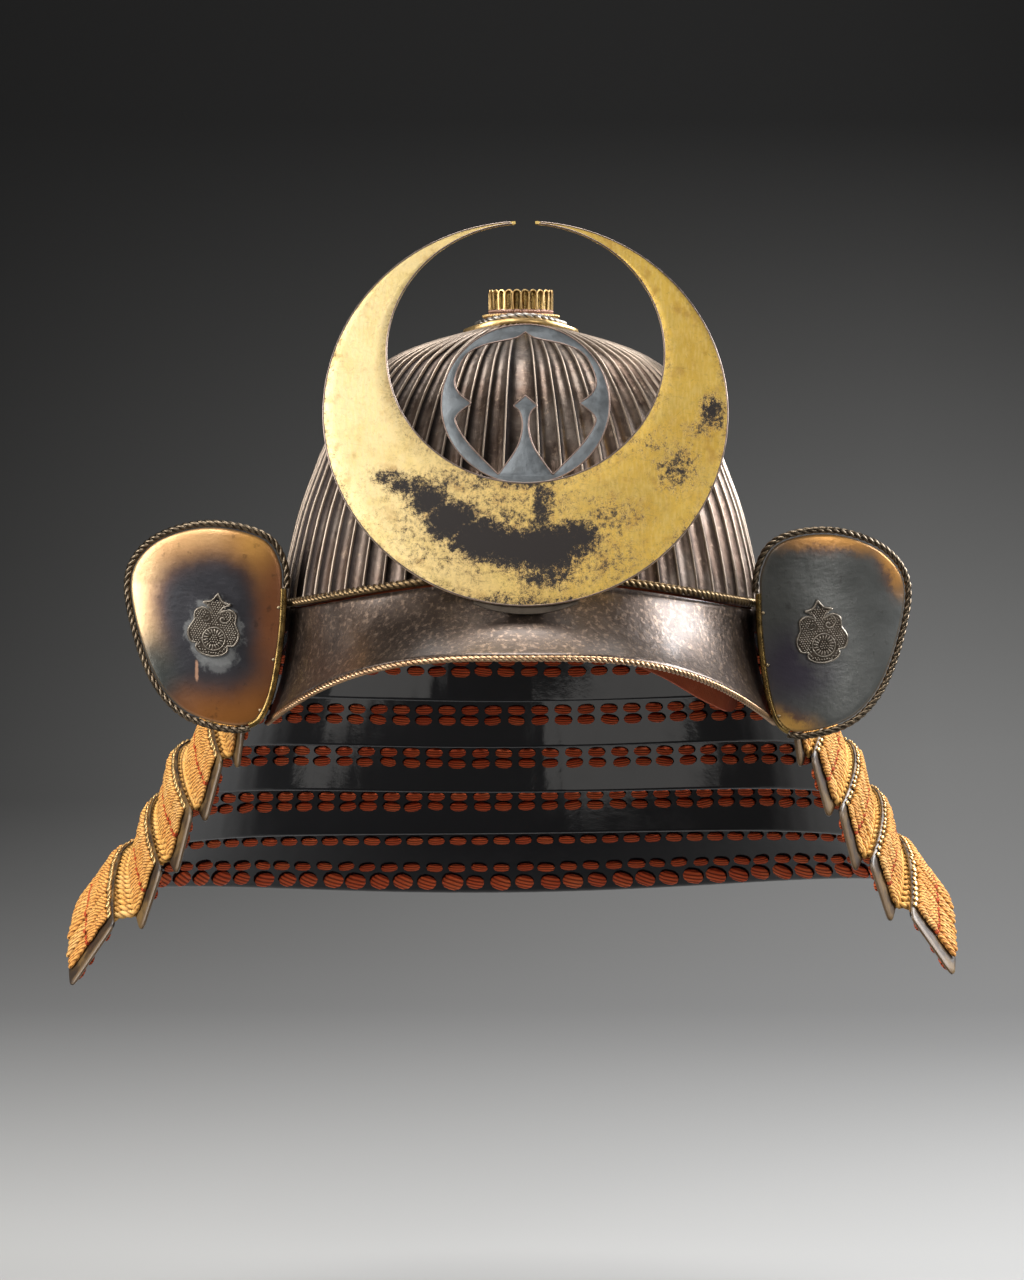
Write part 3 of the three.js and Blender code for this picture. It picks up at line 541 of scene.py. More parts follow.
def lacquer():
    coat = Finish("lacquer", (0.005, 0.005, 0.007), metallic=0.0, roughness=0.08,
                  Specular_IOR_Level=0.7)
    coat.coat(coat.clouds(22, 0.45, 0.75), (0.01, 0.009, 0.012), 0.8)
    coat.roughen(coat.clouds(46, 0.45, 0.75), 0.17)
    gold = coat.clouds(70, 0.42, 0.6)
    coat.coat(coat.mark("outer"), (0.03, 0.018, 0.01))
    coat.coat(coat.masked(gold, coat.mark("outer")), (0.14, 0.085, 0.03))
    coat.roughen(coat.mark("outer"), 0.45)
    coat.coat(coat.mark("edge"), (0.13, 0.075, 0.03), 0.9)
    coat.roughen(coat.mark("edge"), 0.42)
    coat.coat(coat.clouds(300, 0.55, 0.7), (0.02, 0.014, 0.01), 0.35)
    coat.bump(coat.clouds(24, 0.2, 0.8), 0.1)
    return coat.done()


def silk(name, colour, shade, tips, braid=False):
    """Silk cord: its strands run along the piece's own map, and each copy has its own tint."""
    thread = Finish(name, colour, roughness=0.75, Specular_IOR_Level=0.25)
    tree = thread.tree
    along = add(tree, "ShaderNodeUVMap", uv_map="weave")
    parts = add(tree, "ShaderNodeSeparateXYZ", along).outputs
    across = calc(tree, "ABSOLUTE", calc(tree, "SUBTRACT", parts["X"], 0.5))
    if braid:
        slope = calc(tree, "MULTIPLY_ADD", across, 2.6, parts["Y"])
        wave = calc(tree, "SINE", calc(tree, "MULTIPLY", slope, 2 * pi))
    else:
        wave = calc(tree, "SINE", calc(tree, "MULTIPLY", parts["X"], 8 * pi))
    ridge = ramp(tree, wave, -1.0, 0.3)
    dip = calc(tree, "SUBTRACT", 1.0, ridge)
    thread.coat(thread.mark("tint"), shade, 0.5)
    thread.coat(thread.clouds(60, 0.45, 0.7), tips, 0.5)
    # Painted shade between the ridges of the strands and in the grooves of twisted cords.
    thread.coat(dip, tuple(0.3 * v for v in shade), 0.85)
    thread.coat(thread.mark("groove"), tuple(0.2 * v for v in shade), 0.9)
    thread.bump(ridge, 0.5)
    thread.bump(thread.clouds(1300, 0.3, 0.7), 0.15)
    return thread.done()


def red_cloth():
    cloth = Finish("red_cloth", (0.5, 0.09, 0.03), roughness=0.85)
    cloth.coat(cloth.clouds(40, 0.4, 0.7), (0.62, 0.15, 0.05), 0.7)
    cloth.coat(cloth.clouds(160, 0.58, 0.7), (0.24, 0.045, 0.02), 0.6)
    tree = cloth.tree
    threads = vectors(tree, "MULTIPLY", cloth.place, (2600, 2600, 2600))
    parts = add(tree, "ShaderNodeSeparateXYZ", threads).outputs
    turn = calc(tree, "ADD", parts["X"], parts["Y"])
    weave = calc(tree, "MULTIPLY", calc(tree, "SINE", turn), calc(tree, "SINE", parts["Z"]))
    cloth.bump(weave, 0.06)
    cloth.bump(cloth.clouds(70, 0.3, 0.7), 0.8)
    return cloth.done()


LACQUER, RED_CLOTH = lacquer(), red_cloth()
GOLD_SILK = silk("golden_lacing", (0.86, 0.46, 0.12), (0.74, 0.24, 0.05), (0.95, 0.64, 0.26), True)
RED_SILK = silk("red_stitching", (0.78, 0.13, 0.035), (0.52, 0.06, 0.018), (0.85, 0.22, 0.07))
print("silks:", GOLD_SILK.name, RED_SILK.name)

# %% [markdown]
# What repeats or follows a path is made by Geometry Nodes. Each tree below takes its sizes as
# named inputs. **Grow** runs a tree on a seed mesh and keeps only the finished plain mesh.

# %% Running a node tree


def seed_mesh(name, points, edges=(), **marks):
    """Bare points, or points joined by edges, with marks for a tree to read."""
    mesh = bpy.data.meshes.new(name)
    mesh.from_pydata((np.array(points, float) * MM).tolist(), list(edges), [])
    for mark, values in marks.items():
        values = np.array(values, np.float32)
        kind, field = ("FLOAT_VECTOR", "vector") if values.ndim == 2 else ("FLOAT", "value")
        layer = mesh.attributes.new(mark, kind, "POINT")
        layer.data.foreach_set(field, values.ravel())
    return link(name, mesh)


def baked(thing):
    """The plain mesh that an object shows; the object itself is removed."""
    graph = bpy.context.evaluated_depsgraph_get()
    mesh = bpy.data.meshes.new_from_object(thing.evaluated_get(graph), depsgraph=graph)
    bpy.data.objects.remove(thing)
    return mesh


def grow(name, seed, tree, **inputs):
    modifier = seed.modifiers.new("grow", "NODES")
    modifier.node_group = tree
    for socket in tree.interface.items_tree:
        label = socket.name.replace(" ", "_")
        if socket.in_out == "INPUT" and label in inputs:
            modifier[socket.identifier] = inputs[label]
    mesh = baked(seed)
    mesh.name = name
    return link(name, mesh)


def finish_tree(tree, out, shape, material):
    real = add(tree, "GeometryNodeRealizeInstances", Geometry=shape)
    smooth = add(tree, "GeometryNodeSetShadeSmooth", Geometry=real)
    last = add(tree, "GeometryNodeSetMaterial", Geometry=smooth, Material=material)
    wire(tree, out, last)


def stored(tree, shape, name, value, domain="POINT"):
    """The shape, with a number stored on its points or copies for a finish to read."""
    return add(tree, "GeometryNodeStoreNamedAttribute", data_type="FLOAT", domain=domain,
               Geometry=shape, Name=name, Value=value)


def read(tree, name, kind="FLOAT_VECTOR"):
    """A mark that the seed mesh carries."""
    return add(tree, "GeometryNodeInputNamedAttribute", data_type=kind,
               Name=name).outputs["Attribute"]


print("trees so far:", len(bpy.data.node_groups))

# %% [markdown]
# ** Twisted rope**: two or three wires wound together are one lobed circle swept along a path
# while it turns. The circle's hollows carry a mark, so that the finish can paint shade into the
# grooves. A plain wire is the same thing with no turn and no hollows.

# %% Tree: twisted rope


def make_rope_tree():
    tree, ins, out = group_tree("twisted rope", "Rope", Path="Geometry", Radius=0.002, Pitch=0.01,
                                Strands=3, Depth=0.3, Step=0.0009, Material="Material")
    path = add(tree, "GeometryNodeMeshToCurve", Mesh=ins["Path"])
    fine = add(tree, "GeometryNodeResampleCurve", mode="LENGTH", Curve=path, Length=ins["Step"])
    along = add(tree, "GeometryNodeSplineParameter").outputs["Length"]
    turn = calc(tree, "DIVIDE", calc(tree, "MULTIPLY", along, 2 * pi), ins["Pitch"])
    wound = add(tree, "GeometryNodeSetCurveTilt", Curve=fine, Tilt=turn)
    corners = calc(tree, "MULTIPLY", ins["Strands"], 6.0)
    circle = add(tree, "GeometryNodeCurvePrimitiveCircle", mode="RADIUS", Resolution=corners,
                 Radius=ins["Radius"])
    round_it = add(tree, "GeometryNodeSplineParameter").outputs["Factor"]
    half_turns = calc(tree, "MULTIPLY", calc(tree, "MULTIPLY", round_it, pi), ins["Strands"])
    lobe = calc(tree, "ABSOLUTE", calc(tree, "COSINE", half_turns))
    full = calc(tree, "POWER", lobe, 0.7)
    dip = calc(tree, "MULTIPLY", calc(tree, "SUBTRACT", 1.0, full), ins["Depth"])
    place = add(tree, "GeometryNodeInputPosition")
    spot = vectors(tree, "SCALE", place, Scale=calc(tree, "SUBTRACT", 1.0, dip))
    lobed = add(tree, "GeometryNodeSetPosition", Geometry=circle, Position=spot)
    # Painted shade: how deep in a hollow each point of the section lies, for the finish to darken.
    groove = calc(tree, "POWER", calc(tree, "SUBTRACT", 1.0, full), 2.0)
    marked = stored(tree, lobed, "groove", groove)
    solid = add(tree, "GeometryNodeCurveToMesh", Curve=wound, Profile_Curve=marked,
                Fill_Caps=True)
    finish_tree(tree, out, solid, ins["Material"])
    return tree


ROPE_TREE = make_rope_tree()


def rope(name, path, radius, pitch, material, closed=False, strands=3, depth=0.3, step=None):
    """Wires wound along a path; round a closed path they make a whole number of turns."""
    path = np.array(path, float)
    edges = [(i, i + 1) for i in range(len(path) - 1)]
    if closed:
        edges.append((len(path) - 1, 0))
    if closed and depth:
        length = run_along(np.vstack([path, path[:1]]))[-1]
        pitch = length / round(length / pitch)
    seed = seed_mesh("path", path, edges)
    return grow(name, seed, ROPE_TREE, Radius=radius * MM, Pitch=pitch * MM, Strands=strands,
                Depth=depth, Step=(step or radius * 0.45) * MM, Material=material)


NO_TWIST = 1e6  # mm for one turn


def plain_wire(name, path, radius, material, closed=False, step=1.0, strands=1):
    """A smooth wire: a rope with no twist and no grooves, so it needs few faces."""
    return rope(name, path, radius, NO_TWIST, material, closed, strands, 0.0, step)


print(ROPE_TREE.name, "has", len(ROPE_TREE.nodes), "nodes")


# %% [markdown]
# **Planted copies**: one small shape set at many points, such as stitches, cords, beads and
# petals. Every point says which way is out, which way is along, and how large its copy is; each
# copy gets a small random turn and a tint of its own.

# %% Tree: planted copies


def make_planting_tree():
    tree, ins, out = group_tree("planted copies", "Copies", Points="Geometry", Copy="Object",
                                Turn=0.0, Seed=1, Material="Material")
    shape = add(tree, "GeometryNodeObjectInfo", Object=ins["Copy"]).outputs["Geometry"]
    stand = add(tree, "FunctionNodeAlignRotationToVector", axis="Z", Vector=read(tree, "out"))
    aimed = add(tree, "FunctionNodeAlignRotationToVector", axis="X", pivot_axis="Z",
                Rotation=stand, Vector=read(tree, "along"))
    chance = add(tree, "FunctionNodeRandomValue", data_type="FLOAT", Min=-1.0, Max=1.0,
                 Seed=ins["Seed"])
    angle = calc(tree, "MULTIPLY", chance.outputs[1], ins["Turn"])
    euler = add(tree, "ShaderNodeCombineXYZ", Z=angle)
    extra = add(tree, "FunctionNodeEulerToRotation", Euler=euler)
    turned = add(tree, "FunctionNodeRotateRotation", rotation_space="LOCAL", Rotation=aimed,
                 Rotate_By=extra)
    copies = add(tree, "GeometryNodeInstanceOnPoints", Points=ins["Points"], Instance=shape,
                 Rotation=turned, Scale=read(tree, "size"))
    tint = add(tree, "FunctionNodeRandomValue", data_type="FLOAT", Seed=ins["Seed"])
    tinted = stored(tree, copies, "tint", tint.outputs[1], "INSTANCE")
    finish_tree(tree, out, tinted, ins["Material"])
    return tree


PLANTING_TREE = make_planting_tree()


def plant(name, spots, out, along, size, stamp, material, turn=0.0, seed=1):
    """Copies of a stamp, which is 1 mm long in X, 1 mm wide in Y and 1 mm high in Z."""
    spots = np.array(spots, float)
    size = np.broadcast_to(np.array(size, float), spots.shape)
    points = seed_mesh("spots", spots, out=np.broadcast_to(out, spots.shape),
                       along=np.broadcast_to(along, spots.shape), size=size)
    return grow(name, points, PLANTING_TREE, Copy=stamp, Turn=turn, Seed=seed,
                Material=material)


print(PLANTING_TREE.name, "has", len(PLANTING_TREE.nodes), "nodes")

# %% [markdown]
# The stamps are tiny closed bodies with a few dozen faces, because each is repeated hundreds of
# times. A pillow is a cord or a stitch; a bead is a pillow as high as it is wide.

# %% Stamps


def pillow_stamp(name, square, sides=8, repeat=1.0):
    """A pillow: square 0 is an oval, and near 1 a bar with full ends."""
    t = np.sin(np.linspace(-pi / 2, pi / 2, 7))
    end = (1 - np.abs(t * 0.985) ** (2 + 10 * square)) ** 0.5
    turn = np.linspace(0, 2 * pi, sides, endpoint=False)
    rings = []
    for x, full in zip(t, end):
        rings.append(xyz(0.5 * x, 0.5 * full * np.cos(turn), 0.5 + 0.5 * full * np.sin(turn)))
    rings = np.array(rings)
    uv = xyz(rings[..., 1] + 0.5, (rings[..., 0] + 0.5) * repeat).reshape(-1, 2)
    return loft(name, rings, RED_SILK, uv=uv, angle=80)


BEAD = pillow_stamp("bead", 0.0)
STITCH = pillow_stamp("stitch", 0.1, sides=10)
CORD = pillow_stamp("cord", 0.35, repeat=4.0)
print("stamps:", [len(s.data.polygons) for s in (BEAD, STITCH, CORD)])

# %% [markdown]
# The bowl, or hachi, is sixty-two iron plates fanned round the head and riveted edge over edge.
# Its outline is one smooth curve from the rim to the hole at the top. It could be one turned
# body, but the plates are hollowed a little between their ribs, and that is what catches light
# in bands; so the mesh has seven columns to a plate. The columns beside each rib also carry
# painted shade, which deepens the dark bands.

# %% Bowl surface
BOWL_PROFILE = [
    (118.4, -12), (117.8, 0), (115.6, 16), (110.8, 37), (107, 50), (101.3, 65), (96.4, 77),
    (85.2, 97), (77, 107.6), (69.8, 115.2), (62.5, 120), (52.5, 124.6), (38, 129.2), (24, 131.8),
    (12.5, 132.8),
]
BOWL = {"stretch": 1.088, "ridge": 5, "top": 135, "wall": 3, "plates": 62, "front": 1.65}
RIB = {"height": 2.3, "width": 1.3}
PROFILE = spline(BOWL_PROFILE, 24)
PROFILE_RUN = run_along(PROFILE)
PROFILE_SLOPE = unit(np.gradient(PROFILE, axis=0))


RIM = {"brow": 19.8, "drop": 21.5, "power": 1.85, "side": -1.7, "nape": 6.3}


def rim_height(angle):
    """The height of the bowl's rim, which is arched over the brow and dips at the nape."""
    side, ahead = np.abs(np.sin(angle)), np.cos(angle)
    front = RIM["brow"] - RIM["drop"] * side ** RIM["power"]
    return np.where(ahead > 0, front, RIM["side"] - RIM["nape"] * ahead**2)


def bowl_radius(z):
    return np.interp(z, PROFILE[:, 1], PROFILE[:, 0])


def on_bowl(angle, level, out):
    """A point of the bowl: angle from the front, level from the rim to the hole, and how far
    out of the plates' surface it is."""
    angle, level, out = np.broadcast_arrays(angle, level, out)
    start = np.interp(rim_height(angle), PROFILE[:, 1], PROFILE_RUN)
    run = start + (PROFILE_RUN[-1] - start) * level
    r, z, sr, sz = (np.interp(run, PROFILE_RUN, c) for c in
                    (*PROFILE.T, *PROFILE_SLOPE.T))
    lift = BOWL["ridge"] * (np.maximum(z, 0) / BOWL["top"]) ** 2 * np.minimum(1, r / 28)
    height = z - sr * out + lift * np.cos(angle) ** 2
    return around(angle, r + sz * out, height, BOWL["stretch"])


UNIT = 2 * pi / (BOWL["plates"] - 1 + BOWL["front"])
RIBS = UNIT * (BOWL["front"] / 2 + np.arange(BOWL["plates"]))
# The third column is painted shade, darkest at the foot of each rib.
PLATE_SHAPE = [  # share of a plate's width, how far out in mm, and how dark
    (0, 1.4, 1), (0.08, 0.7, 1), (0.16, -0.2, 0.9), (0.34, -0.95, 0.4), (0.56, -1.1, 0),
    (0.8, -0.3, 0), (0.93, 0.8, 0.4),
]


def die_away(level):
    """1 over most of the bowl, and falling towards the hole at its top."""
    return np.minimum(1, (1.04 - level) / 0.3)


def make_bowl():
    levels = np.linspace(0, 1, 38)[:, None]
    share, high, dark = np.array(PLATE_SHAPE).T
    widths = np.append(RIBS[1:], RIBS[0] + 2 * pi) - RIBS
    angles = (RIBS[:, None] + widths[:, None] * share).ravel()
    out = np.tile(high, BOWL["plates"]) * die_away(levels)
    outer = on_bowl(angles, levels, out)
    inner = on_bowl(angles, levels, -BOWL["wall"])
    # How much painted shade each point gets; the inner face gets none.
    dark = np.tile(dark, BOWL["plates"] * len(levels))
    dark = np.concatenate([dark, 0 * dark])
    return wall("bowl_plates", outer, inner, RUSSET_IRON, True, {"groove": dark}, 60)


bowl = make_bowl()
print("bowl plates:", len(bowl.data.polygons), "faces")

# %% [markdown]
# Each plate's edge is turned up into a standing rib, called a suji. A rib is a thin upright
# section that follows a meridian and dies away at the top, so one tree sweeps all sixty-two.

# %% Standing ribs


def make_rib_tree():
    tree, ins, out = group_tree("standing ribs", "Ribs", Paths="Geometry", Width=0.0015,
                                Height=0.0023, Material="Material")
    paths = add(tree, "GeometryNodeMeshToCurve", Mesh=ins["Paths"])
    upright = add(tree, "GeometryNodeSetCurveNormal", mode="FREE", Curve=paths,
                  Normal=read(tree, "out"))
    tapered = add(tree, "GeometryNodeSetCurveRadius", Curve=upright,
                  Radius=read(tree, "fade", "FLOAT"))
    circle = add(tree, "GeometryNodeCurvePrimitiveCircle", mode="RADIUS", Resolution=8,
                 Radius=1.0)
    place = add(tree, "GeometryNodeInputPosition")
    size = add(tree, "ShaderNodeCombineXYZ", X=ins["Height"],
               Y=calc(tree, "MULTIPLY", ins["Width"], 0.5), Z=1.0)
    spot = vectors(tree, "MULTIPLY", place, size)
    section = add(tree, "GeometryNodeSetPosition", Geometry=circle, Position=spot)
    solid = add(tree, "GeometryNodeCurveToMesh", Curve=tapered, Profile_Curve=section,
                Fill_Caps=True)
    finish_tree(tree, out, stored(tree, solid, "worn", 1.0), ins["Material"])
    return tree


def make_ribs():
    levels = np.linspace(0, 0.97, 32)
    points, out, fade, edges = [], [], [], []
    for angle in RIBS:
        line = on_bowl(angle, levels, 0.0)
        start = len(points)
        points.extend(line)
        out.extend(unit(on_bowl(angle, levels, 1.0) - line))
        fade.extend(die_away(levels))
        edges.extend((start + i, start + i + 1) for i in range(len(levels) - 1))
    seed = seed_mesh("rib_paths", points, edges, out=np.array(out), fade=np.array(fade))
    return grow("bowl_ribs", seed, make_rib_tree(), Width=RIB["width"] * MM,
                Height=RIB["height"] * MM, Material=RUSSET_IRON)


ribs = make_ribs()
print("ribs:", len(RIBS), "with", len(ribs.data.polygons), "faces")

# %% [markdown]
# The visor, or mabizashi, is one sheet of iron riveted under the brow. It is a surface ruled from
# the bowl's rim to its lip and sunk a little between, so it is built from those two curves.

# %% Visor
VISOR = {"end": 70, "half_width": 127.5, "reach": 163.5, "z": -13.2, "drop": 46, "power": 2.9,
         "lip_end": 76, "hollow": 3}


def on_visor(across, down, out=0.0):
    """A point of the visor: across from -1 to 1, down from the rim to the lip."""
    across, down = np.broadcast_arrays(across, down)
    root, end = radians(VISOR["end"]) * across, radians(VISOR["lip_end"]) * across
    rim = rim_height(root)
    top = around(root, bowl_radius(rim) + 1.6, rim - 1.8, BOWL["stretch"])
    fall = VISOR["drop"] * np.abs(np.sin(end)) ** VISOR["power"]
    lip = xyz(VISOR["half_width"] * np.sin(end), -VISOR["reach"] * np.cos(end), VISOR["z"] - fall)
    inward = unit(xyz(-np.sin(end), np.cos(end), -0.7))
    share = down[..., None]
    sink = VISOR["hollow"] * 4 * share * (1 - share)
    return top + (lip - top) * share + inward * (sink - out)


def make_visor():
    across = np.linspace(-1, 1, 141)
    down = np.concatenate([[0, 0.004, 0.02], np.linspace(0.06, 0.96, 20), [0.985, 0.997, 1]])
    edge = np.array([0.1, 0.7, 1.1] + [1.1] * 20 + [1.05, 0.7, 0.1])
    grid = np.meshgrid(across, down)
    thick = np.repeat(edge[:, None], len(across), 1)[..., None]
    outer, inner = on_visor(*grid, thick), on_visor(*grid, -thick)
    return wall("visor_plate", outer, inner, VISOR_IRON)


def make_visor_ropes():
    angle = radians(VISOR["end"]) * np.linspace(-1, 1, 61)
    rim = rim_height(angle)
    out = bowl_radius(rim) + RIB["height"] + 2.05 + 0.3  # past a rib, half the rope and a gap
    path = xyz(out * np.sin(angle), -(out + 1) * BOWL["stretch"] * np.cos(angle), rim + 1.5)
    top = rope("visor_brow_rope", path, 2.15, 10.0, DARK_ROPE, depth=0.42)
    across = np.linspace(-1, 1, 81)
    lip = on_visor(across, 1.0)
    run = unit(lip - on_visor(across, 0.96))
    return top, rope("visor_rim_rope", lip + 1.9 * run, 1.55, 8.5, COPPER_ROPE, depth=0.45)


visor = make_visor()
brow_rope, rim_rope = make_visor_ropes()
print("ropes:", len(brow_rope.data.polygons), len(rim_rope.data.polygons), "faces")

# %% [markdown]
# The fitting at the top is a stack of soft-metal rings round the hole: a flange, a twisted ring,
# a beaded ring, a beaded collar, and a crown of petals. The rings are turned sections; the beads
# and petals are planted.

# %% Crown fitting
CROWN_HOLE = 11.5


def ring_path(radius, z, saddle, steps=120):
    """A round path that is higher in front and behind than at its sides."""
    angle = np.linspace(0, 2 * pi, steps, endpoint=False)[:, None]
    return around(angle, radius, z + saddle * np.cos(angle) ** 2)


def saddle_ring(name, section, material):
    """A ring from a closed section of (radius, height, saddle)."""
    rings = ring_path(*np.array(section, float).T, 96)
    return loft(name, rings, material, loop=True, angle=50)


def ring_beads(name, radius, z, saddle, count, size, material):
    angle = np.linspace(0, 2 * pi, count, endpoint=False)
    spots = ring_path(radius, z, saddle, count)[:, 0]
    out, along = around(angle), around(angle + pi / 2)
    return plant(name, spots - 0.5 * size * out, out, along, size, BEAD, material)


def make_crown():
    flange = saddle_ring("crown_flange_ring", [
        (CROWN_HOLE, 136.0, 0.6), (20, 134.8, 3.2), (27.3, 132.8, 4.8), (28.4, 133.0, 5),
        (28.9, 134.3, 5), (28.4, 135.6, 5), (27.3, 135.9, 5), (24.5, 136.0, 4.4),
        (21.5, 136.4, 4), (19.4, 138.6, 2.6), (18.0, 140.9, 1.2), (CROWN_HOLE, 141.2, 0.6)],
        CROWN_GILT)
    twist = rope("crown_twist", ring_path(21.6, 138.1, 4)[:, 0], 1.5, 8.0, CROWN_SILVER,
                 True, 2, 0.4)
    pearls = ring_beads("crown_pearls", 18.6, 142.0, 0.6, 64, 1.7, CROWN_GILT)
    collar = saddle_ring("crown_collar_ring", [
        (CROWN_HOLE, 140.6, 0), (17.4, 140.8, 0.4), (17.6, 142.6, 0), (16.0, 143.5, 0),
        (15.0, 144.0, 0), (15.0, 145.4, 0), (CROWN_HOLE, 145.5, 0)], CROWN_COPPER)
    grains = ring_beads("crown_grains", 15.7, 144.4, 0, 72, 1.2, CROWN_COPPER)
    return flange, twist, pearls, collar, grains


flange_ring, twist_ring, pearl_ring, collar_ring, grain_ring = make_crown()
print("crown rings:", len(flange_ring.data.polygons), len(collar_ring.data.polygons), "faces")

# %% [markdown]
# A petal is a hollow flute inside a raised rim shaped like an arch. The rim is a round wire bent
# over the arch, and the flute is a thin curved plate behind it; both are stamps, planted in turn.

# %% Crown petals
PETALS = {"count": 24, "radius": 15.2, "z": 145.2, "height": 9.6, "width": 3.9}


def arch(steps=9):
    """The arch of a petal, 1 wide and 1 high, as points (across, up)."""
    bend = np.linspace(0, pi, steps)
    top = np.stack([0.5 * np.cos(bend), 0.78 + 0.22 * np.sin(bend)], -1)
    return np.vstack([[0.42, 0], [0.48, 0.4], top, [-0.48, 0.4], [-0.42, 0]])


def petal_rim_stamp():
    line = arch()
    run = unit(np.gradient(line, axis=0))
    turn = np.linspace(0, 2 * pi, 6, endpoint=False)
    rings = []
    for (y, x), (ry, rx) in zip(line, run):
        side = 0.11 * np.cos(turn)
        rings.append(xyz(x + ry * side * 0.45, y - rx * side, 0.1 + 0.11 * np.sin(turn)))
    return loft("petal_rim", np.array(rings), CROWN_GILT)


def petal_flute_stamp():
    rings = []
    for x, half in ((0, 0.4), (0.4, 0.46), (0.78, 0.46), (0.9, 0.36), (0.97, 0.15)):
        y = np.linspace(-half, half, 7)
        front = xyz(x, y, -0.32 * (1 - (y / half) ** 2))
        back = front[::-1] - (0, 0, 0.25)
        rings.append(np.vstack([front, back]))
    return loft("petal_flute", np.array(rings), DARK_FLUTE)


def make_petals():
    count = PETALS["count"]
    out = around((np.arange(count) + 0.5) * 2 * pi / count)
    spots = out * PETALS["radius"] + (0, 0, PETALS["z"])
    size = (PETALS["height"], PETALS["width"], PETALS["width"])
    up = (0.0, 0.0, 1.0)
    stamps = petal_rim_stamp(), petal_flute_stamp()
    rims = plant("crown_petal_rims", spots, out, up, size, stamps[0], CROWN_GILT)
    flutes = plant("crown_petal_flutes", spots, out, up, size, stamps[1], DARK_FLUTE)
    for stamp in stamps:
        bpy.data.objects.remove(stamp)
    tube = saddle_ring("crown_sleeve", [(11.6, 144.5, 0), (13.4, 144.5, 0), (13.6, 153, 0),
                                        (12.2, 153.4, 0)], DARK_FLUTE)
    return rims, flutes, tube


petal_rims, petal_flutes, sleeve = make_petals()
print("petals:", PETALS["count"])

# %% [markdown]
# The neck guard, or shikoro, hangs from the bowl in six curved lames. A lame is a plate ruled
# between two rails, and a rail is an oval that is cut off in front. Points are taken evenly along
# each rail, so that everything laced on a lame keeps an even pitch.

# %% Neck guard rails
GUARD_WIDEST, GUARD_PEAK = 40, 68
LAMES = [  # front, swing, lean, then half, back, front half, z front, z side, z back of each rail
    (-62, 0, 0, (123.6, 135, 115.6, 4, -4, -10), (133, 140, 128, -55, -33, -40)),
    (-55, -1, 0.002, (138.6, 145.5, 132.6, -48, -27, -34), (150, 150, 136.6, -78.7, -58, -66.7)),
    (-55, -2, 0.008, (155.5, 155.5, 143.2, -72.9, -52, -60.7), (168, 162, 151.6, -104, -83, -93.6)),
    (-55, -2.5, 0.004, (173.4, 167.5, 157.4, -98.5, -77, -87.6),
     (181.5, 173.5, 165.5, -130, -109, -120.3)),
    (-55, -2.5, 0.011, (187.2, 179, 172.6, -125.5, -103, -114.3),
     (196, 187, 183, -156.5, -135, -145.6)),
    (-55, -4.3, 0.0125, (202, 193, 194.4, -152.5, -129.5, -139.6),
     (225, 213, 216, -183.5, -160, -183.5)),
]


def make_rail(lame, which):
    """Dense points along one edge of a lame, and how far along each one is from 0 to 1."""
    front_y, swing, lean = lame[:3]
    half, back, front, z_front, z_side, z_back = lame[3 + which]
    ahead = GUARD_WIDEST - front_y
    depth = ahead / sqrt(1 - (front / half) ** 2)
    along = np.linspace(-1, 1, 1201)
    angle = np.abs(along) * (pi / 2 + asin(ahead / depth))
    reach = np.where(angle < pi / 2, back - GUARD_WIDEST, depth)
    x = np.sign(along) * half * np.sin(angle)
    y = GUARD_WIDEST + reach * np.cos(angle)
    behind = y > GUARD_PEAK
    span = np.where(behind, back - GUARD_PEAK, GUARD_PEAK - front_y)
    rest = np.where(behind, z_back, z_front)
    z = z_side + (rest - z_side) * ((y - GUARD_PEAK) / span) ** 2
    points = xyz(x + swing, y, z + lean * x)
    run = run_along(points)
    return points, run / run[-1], run[-1]


RAILS = [(make_rail(lame, 0), make_rail(lame, 1)) for lame in LAMES]


def on_lame(k, share, down):
    """A point of lame k: its share of the way round, and down from its top edge."""
    share, down = np.broadcast_arrays(share, down)
    ends = []
    for points, run, _ in RAILS[k]:
        ends.append(np.stack([np.interp(share, run, c) for c in points.T], -1))
    return ends[0] + (ends[1] - ends[0]) * down[..., None]


def lame_frame(k, share, down):
    """At a point of lame k: the point, outwards, along the lame, and down it."""
    point = on_lame(k, share, down)
    along = unit(on_lame(k, share + 1e-3, down) - on_lame(k, share - 1e-3, down))
    below = unit(on_lame(k, share, np.asarray(down) + 0.01) - point)
    return point, unit(np.cross(along, below)), along, below


print("lame lengths:", [round(r[1][2]) for r in RAILS], "mm")

# %% [markdown]
# Each lame is a thin plate with rounded ends and edges, lacquered black inside and worn gold
# outside. Rows near its top and bottom start a little further in, which rounds the corners.

# %% Lames


LAME = {"corner": 4.5, "half_thick": 1.1, "ripple": 0.07, "ripple_pitch": 11.5, "worn": 1.3}


